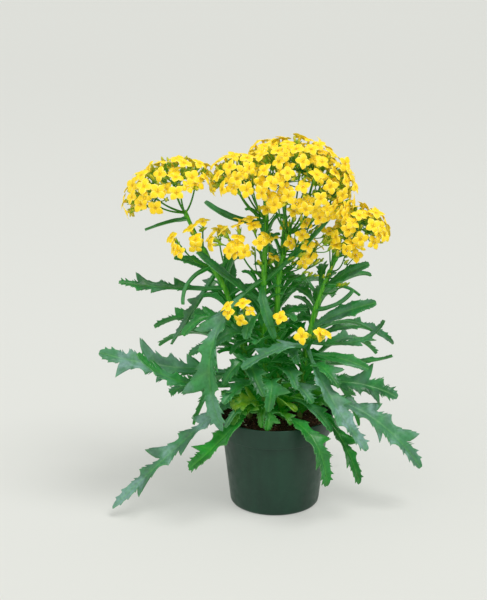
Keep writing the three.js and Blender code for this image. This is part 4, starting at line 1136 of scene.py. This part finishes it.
def crumb(size, squash, seed):
    """The corners of an uneven grain with the twenty CRUMB_FACES."""
    long = (1 + math.sqrt(5)) / 2
    corners = np.array([np.roll((x, y, 0), k) for k in range(3) for y in (long, -long) for x in (-1, 1)])
    corners /= np.linalg.norm(corners[0])
    corners *= (0.72 + 0.5 * np.array([draw(seed + 0.07 * k) for k in range(12)]))[:, None]
    turns = Euler((6.28 * draw(seed + 0.93), 0, 6.28 * draw(seed + 0.91))).to_matrix()
    return corners * squash * size @ np.array(turns).T


def scatter(skin, count, sizes, squash, seed, slot=0):
    """Grains strewn over the soil, clear of the pot's wall."""
    radius = np.array([SOIL_RADIUS * math.sqrt(draw(seed + i)) for i in range(count)])
    turn = np.array([2 * math.pi * draw(seed + i + 0.37) for i in range(count)])
    x, y = radius * np.cos(turn), radius * np.sin(turn)
    for i, z in enumerate(soil_height(x, y)):
        size = mix(*sizes, draw(seed + i + 0.53) ** 2)
        grain = crumb(size, squash, seed + i * 1.7) + (x[i], y[i], z + 0.25 * size)
        skin.add(grain, [CRUMB_FACES], slot, tint=draw(seed + i + 0.77))


def make_grains():
    crumbs, perlite = Skin(), Skin()
    scatter(crumbs, **CRUMBS)
    scatter(crumbs, **BARK_CHIPS, slot=1)
    scatter(perlite, **PERLITE_GRAINS)
    piece("soil_crumbs", crumbs, "soil", [PEAT, BARK])
    piece("perlite", perlite, "soil", [PERLITE])


def linear(colour):
    """A linear colour with alpha from an sRGB hex value."""
    parts = [int(colour[i : i + 2], 16) / 255 for i in (1, 3, 5)]
    return [c / 12.92 if c <= 0.04045 else ((c + 0.055) / 1.055) ** 2.4 for c in parts] + [1.0]


class Finish:
    """A material with one principled shader, and nodes that lay colours over a ground colour."""

    def __init__(self, name, ground, **values):
        self.material = bpy.data.materials.new(name)
        self.material.use_nodes = True
        self.tree = self.material.node_tree
        self.shader = self.tree.nodes["Principled BSDF"]
        self.colour = linear(ground)
        for socket, value in values.items():
            self.shader.inputs[socket.replace("_", " ")].default_value = value

    def add(self, kind, inputs, **settings):
        """Adds a node with its settings, and gives values or other nodes' outputs to its inputs."""
        node = self.tree.nodes.new(kind)
        for name, value in settings.items():
            setattr(node, name, value)
        for name, value in inputs.items():
            if isinstance(value, bpy.types.NodeSocket):
                self.tree.links.new(value, node.inputs[name])
            else:
                node.inputs[name].default_value = value
        return node

    def mark(self, name, share=1.0):
        """One of Skin's marks, times a share."""
        value = self.add("ShaderNodeAttribute", {}, attribute_name=name).outputs["Fac"]
        return value if share == 1.0 else self.times(value, share)

    def place(self):
        return self.add("ShaderNodeTexCoord", {}).outputs["Object"]

    def pattern(self, size, detail, stretch=(1, 1, 1)):
        """Noise whose features are size millimetres across."""
        drawn = self.add("ShaderNodeMapping", {"Vector": self.place(), "Scale": stretch}).outputs[0]
        inputs = {"Vector": drawn, "Scale": 1 / (size * MM), "Detail": detail}
        return self.add("ShaderNodeTexNoise", inputs).outputs[0]

    def ramp(self, value, low, high, to_low=0.0, to_high=1.0):
        inputs = {"Value": value, 1: low, 2: high, 3: to_low, 4: to_high}
        return self.add("ShaderNodeMapRange", inputs, interpolation_type="SMOOTHSTEP").outputs[0]

    def times(self, a, b):
        return self.add("ShaderNodeMath", {0: a, 1: b}, operation="MULTIPLY").outputs[0]

    def lay(self, colour, share):
        """Lays a colour over what is there by a share, a value from other nodes."""
        inputs = {0: share, 6: self.colour, 7: linear(colour)}
        self.colour = self.add("ShaderNodeMix", inputs, data_type="RGBA").outputs[2]

    def join(self, output, socket):
        self.tree.links.new(output, self.shader.inputs[socket])

    def relief(self, height, depth):
        """Bumps that are depth millimetres deep."""
        inputs = {"Height": height, "Strength": 0.6, "Distance": depth * MM}
        self.join(self.add("ShaderNodeBump", inputs).outputs[0], "Normal")

    def done(self, *sockets):
        """Gives the laid colour to the shader, and to more sockets where they are named."""
        for socket in ("Base Color", *sockets):
            self.join(self.colour, socket)
        return self.material


# Patterns finer than about half a millimetre would only flicker at this distance, so the cells of leaf and
# petal, the mould's grain and the pollen are drawn coarser than they are.


# Fleshy leaf: a smooth cuticle that shines softly. Older leaves carry a blue-grey bloom in patches, partly
# waxy and partly a painted sheen of light. The rib, the side veins and the underside are paler, and so is the
# edge, partly its own colour and partly a painted highlight along the rim. The lowest leaves turn yellow.
# Green light that passes through the blade is drawn as a weak glow.
def make_leaf_material():
    look = Finish("waxy_leaf", "#012E06", Specular_IOR_Level=0.25, Subsurface_Weight=0.05,
                  Subsurface_Radius=LEAF_SCATTER, Emission_Strength=LEAF_GLOW,
                  Emission_Color=linear("#028A08"))
    look.lay("#046A18", look.ramp(look.pattern(24, 3), 0.38, 0.62))
    look.lay("#2A9A1C", look.mark("tint", 0.32))
    # Blue-grey bloom in patches: partly a waxy bloom, partly a painted sheen of light on the leaves.
    wax = look.times(look.mark("wax"), look.ramp(look.pattern(34, 4), 0.45, 0.6, 0.35))
    look.lay("#84A2A2", wax)
    look.lay("#3B993A", look.mark("under", 0.4))
    look.lay("#A6BE2C", look.times(look.mark("age"), look.ramp(look.pattern(6, 3), 0.2, 0.55)))
    look.lay("#77C04E", look.mark("rib", 0.22))
    # Paler at the edges: partly the margin's own colour, partly a painted highlight along the rims.
    look.lay("#7FBF72", look.mark("edge", 0.5))
    look.lay("#4C9C58", look.ramp(look.pattern(9, 2), 0.5, 0.66, 0, 0.2))
    look.lay("#023806", look.ramp(look.pattern(3, 2), 0.4, 0.7, 0, 0.25))
    look.join(look.ramp(wax, 0, 0.6, 0.26, 0.5), "Roughness")
    look.relief(look.pattern(1.2, 3), 0.12)
    return look.done()


# Green stem: smooth and juicy, paler than the leaves, with fine lengthwise streaks and a brownish foot. The
# rays of the flower heads are darker.
def make_stem_material():
    look = Finish("green_stem", "#3A9A14", Roughness=0.4, Specular_IOR_Level=0.35, Subsurface_Weight=0.05,
                  Subsurface_Radius=LEAF_SCATTER)
    streaks = look.pattern(1.6, 3, (1, 1, 0.08))
    look.lay("#6CC030", look.ramp(streaks, 0.35, 0.65))
    look.lay("#8C8A55", look.times(look.ramp(look.mark("along"), 0.02, 0.16, 1, 0), 0.7))
    look.lay("#1E6A10", look.mark("tint", 0.65))
    look.relief(streaks, 0.2)
    return look.done()


# Pedicels, sepals and bracts: thin green tissue, dark at the rays and yellow-green near the blooms.
def make_stalk_material():
    # The stalks also glow weakly in their own colour: painted light that keeps them bright in the shade of
    # the heads.
    look = Finish("green_stalk", "#4E9412", Roughness=0.45, Specular_IOR_Level=0.3,
                  Emission_Strength=STALK_GLOW)
    look.lay("#7CB224", look.pattern(3, 2))
    look.lay("#B2CE3A", look.mark("tint", 0.5))
    look.lay("#1F6A12", look.ramp(look.mark("along"), 0.1, 0.7, 1, 0))
    look.relief(look.pattern(0.8, 2), 0.05)
    return look.done("Emission Color")


# Petal: thin, soft and satin. Yellow with paler edges, deeper towards the throat. Light that passes through
# it from other petals is drawn as a weak glow.
def make_petal_material():
    look = Finish("golden_petal", "#F8D00C", Roughness=0.55, IOR=1.38, Subsurface_Weight=0.3,
                  Subsurface_Radius=PETAL_SCATTER, Emission_Strength=PETAL_GLOW)
    along = look.mark("along")
    look.lay("#FBDA26", look.pattern(2.2, 2))
    look.lay("#FFF07C", look.ramp(look.mark("rib"), 0.5, 1, 0, 0.7))
    look.lay("#FBCB06", look.ramp(along, 0, 0.3, 0.35, 0))
    look.lay("#E2B804", look.ramp(along, 0, 0.08, 0.25, 0))
    look.lay("#E8E044", look.mark("under", 0.4))
    look.lay("#FFD216", look.ramp(look.mark("tint"), 0.6, 1, 0, 0.3))
    look.relief(look.pattern(0.7, 2), 0.06)
    return look.done("Emission Color")


# Corolla tube and bud: yellow at the mouth and green at the foot, greener still on a young bud.
def make_tube_material():
    look = Finish("corolla_tube", "#A5C43A", Roughness=0.48, IOR=1.4, Subsurface_Weight=0.1,
                  Subsurface_Radius=TUBE_SCATTER)
    look.lay("#FFD92A", look.ramp(look.mark("along"), 0.25, 0.85))
    look.lay("#8CB82E", look.mark("under"))
    look.lay("#C9B02A", look.times(look.pattern(1.5, 2), 0.3))
    return look.done()


# Anther: grains of pollen, matt and golden.
def make_anther_material():
    look = Finish("pollen", "#E4BC22", Roughness=0.8)
    look.lay("#F6D43C", look.pattern(0.3, 2))
    return look.done()


# Injection-moulded polypropylene: dark green, satin, with the faint grain and flow marks of its mould.
def make_pot_material():
    look = Finish("moulded_polypropylene", "#0B3122", Specular_IOR_Level=0.4)
    look.lay("#113E2B", look.ramp(look.pattern(18, 4, (1, 1, 0.25)), 0.3, 0.7))
    look.lay("#2A4A3B", look.ramp(look.pattern(5, 5), 0.55, 0.8, 0, 0.25))
    look.join(look.ramp(look.pattern(9, 3), 0.3, 0.7, 0.36, 0.5), "Roughness")
    look.relief(look.pattern(0.6, 3), 0.03)
    return look.done()


# Moist peat mix: dark brown, fully rough, with lighter fibres.
def make_peat_material():
    look = Finish("moist_peat", "#2A1A10", Roughness=0.95, IOR=1.33)
    look.lay("#543823", look.ramp(look.pattern(3, 5), 0.3, 0.7))
    look.lay("#6E4C32", look.ramp(look.mark("tint"), 0.7, 1, 0, 0.6))
    look.relief(look.pattern(1.0, 5), 0.8)
    return look.done()


# Bark chips: reddish brown flakes with a fibrous grain.
def make_bark_material():
    look = Finish("bark_chip", "#3A2216", Roughness=0.85)
    grain = look.pattern(1.0, 4, (0.25, 1, 1))
    look.lay("#7A4E33", grain)
    look.relief(grain, 0.4)
    return look.done()


# Perlite: white puffed mineral grains, matt, soiled here and there.
def make_perlite_material():
    look = Finish("perlite", "#E9E2D0", Roughness=0.9)
    look.lay("#A8957A", look.ramp(look.pattern(1.5, 3), 0.45, 0.7, 0, 0.6))
    look.relief(look.pattern(0.5, 3), 0.3)
    return look.done()


# Paper sweep: matt and pale grey, with a weak glow that keeps the shadows on it faint.
def make_sweep_material():
    look = Finish("paper_sweep", "#A5A6A1", Roughness=0.9, Emission_Strength=FLOOR_GLOW,
                  Emission_Color=linear("#F4F5F0"))
    # Darker towards the back: painted shade, where less light reaches the sweep.
    back = look.add("ShaderNodeSeparateXYZ", {0: look.place()}).outputs[1]
    look.lay("#989994", look.ramp(back, -0.4, 2.5))
    return look.done()


def make_stage():
    """A wide floor."""
    half = 8
    mesh = bpy.data.meshes.new("floor")
    corners = [(-half, -half, 0), (half, -half, 0), (half, half, 0), (-half, half, 0)]
    mesh.from_pydata(corners, [], [(0, 1, 2, 3)])
    mesh.materials.append(make_sweep_material())
    floor = stand("floor", mesh)


def light_stage():
    """Distant soft lights, each of which shines on the plant from the side of its place."""
    for name, (place, width, power) in LIGHTS.items():
        data = bpy.data.lights.new(name, "SUN")
        data.angle, data.energy = math.radians(width), power
        light = stand(name, data)
        light.location = place
        light.rotation_euler = Vector(place).to_track_quat("Z", "Y").to_euler()
    world = bpy.data.worlds.new("studio")
    world.use_nodes = True
    background = world.node_tree.nodes["Background"]
    background.inputs["Color"].default_value = linear("#F2F3F1")
    background.inputs["Strength"].default_value = WORLD_STRENGTH
    bpy.context.scene.world = world
    bpy.context.scene.view_settings.view_transform = "Standard"


def make_camera():
    """Looks down on the plant by 17.8 degrees, from its front, as a long lens 1.8 m away does."""
    data = bpy.data.cameras.new("camera")
    data.sensor_width, data.lens = CAMERA_SENSOR, CAMERA_LENS
    camera = stand("camera", data)
    camera.location = CAMERA_PLACE
    camera.rotation_euler = (CAMERA_TILT, 0, 0)
    bpy.context.scene.camera = camera


LEAF = make_leaf_material()
STEM = make_stem_material()
STALK = make_stalk_material()
PETAL = make_petal_material()
COROLLA_TUBE = make_tube_material()
ANTHER = make_anther_material()
POLYPROPYLENE = make_pot_material()
PEAT = make_peat_material()
BARK = make_bark_material()
PERLITE = make_perlite_material()

for stem in STEMS.values():
    stem["curve"] = Route(stem["route"])
all_blooms = place_blooms()
head_cymes = [cymes_of(head, all_blooms) for head in HEADS]
spray_cymes = [[cyme_of(number, *spray)] for number, spray in enumerate(SPRAYS.values())]
all_cymes = [cyme for group in head_cymes + spray_cymes for cyme in group]
for stem_name, stem in STEMS.items():
    make_leafy_stem(stem_name, stem, [cyme for cyme in all_cymes if cyme["stem"] == stem_name])
for head, group in zip(HEADS, head_cymes):
    nodes = [f"{head['name']}_cyme_{i + 1}" for i in range(len(group))]
    make_inflorescence(head["name"], group, nodes, head)
for spray_name, group in zip(SPRAYS, spray_cymes):
    make_inflorescence(spray_name, group, [spray_name])
make_inner_rays()
make_pot()
make_soil()
make_grains()
make_stage()
light_stage()
make_camera()
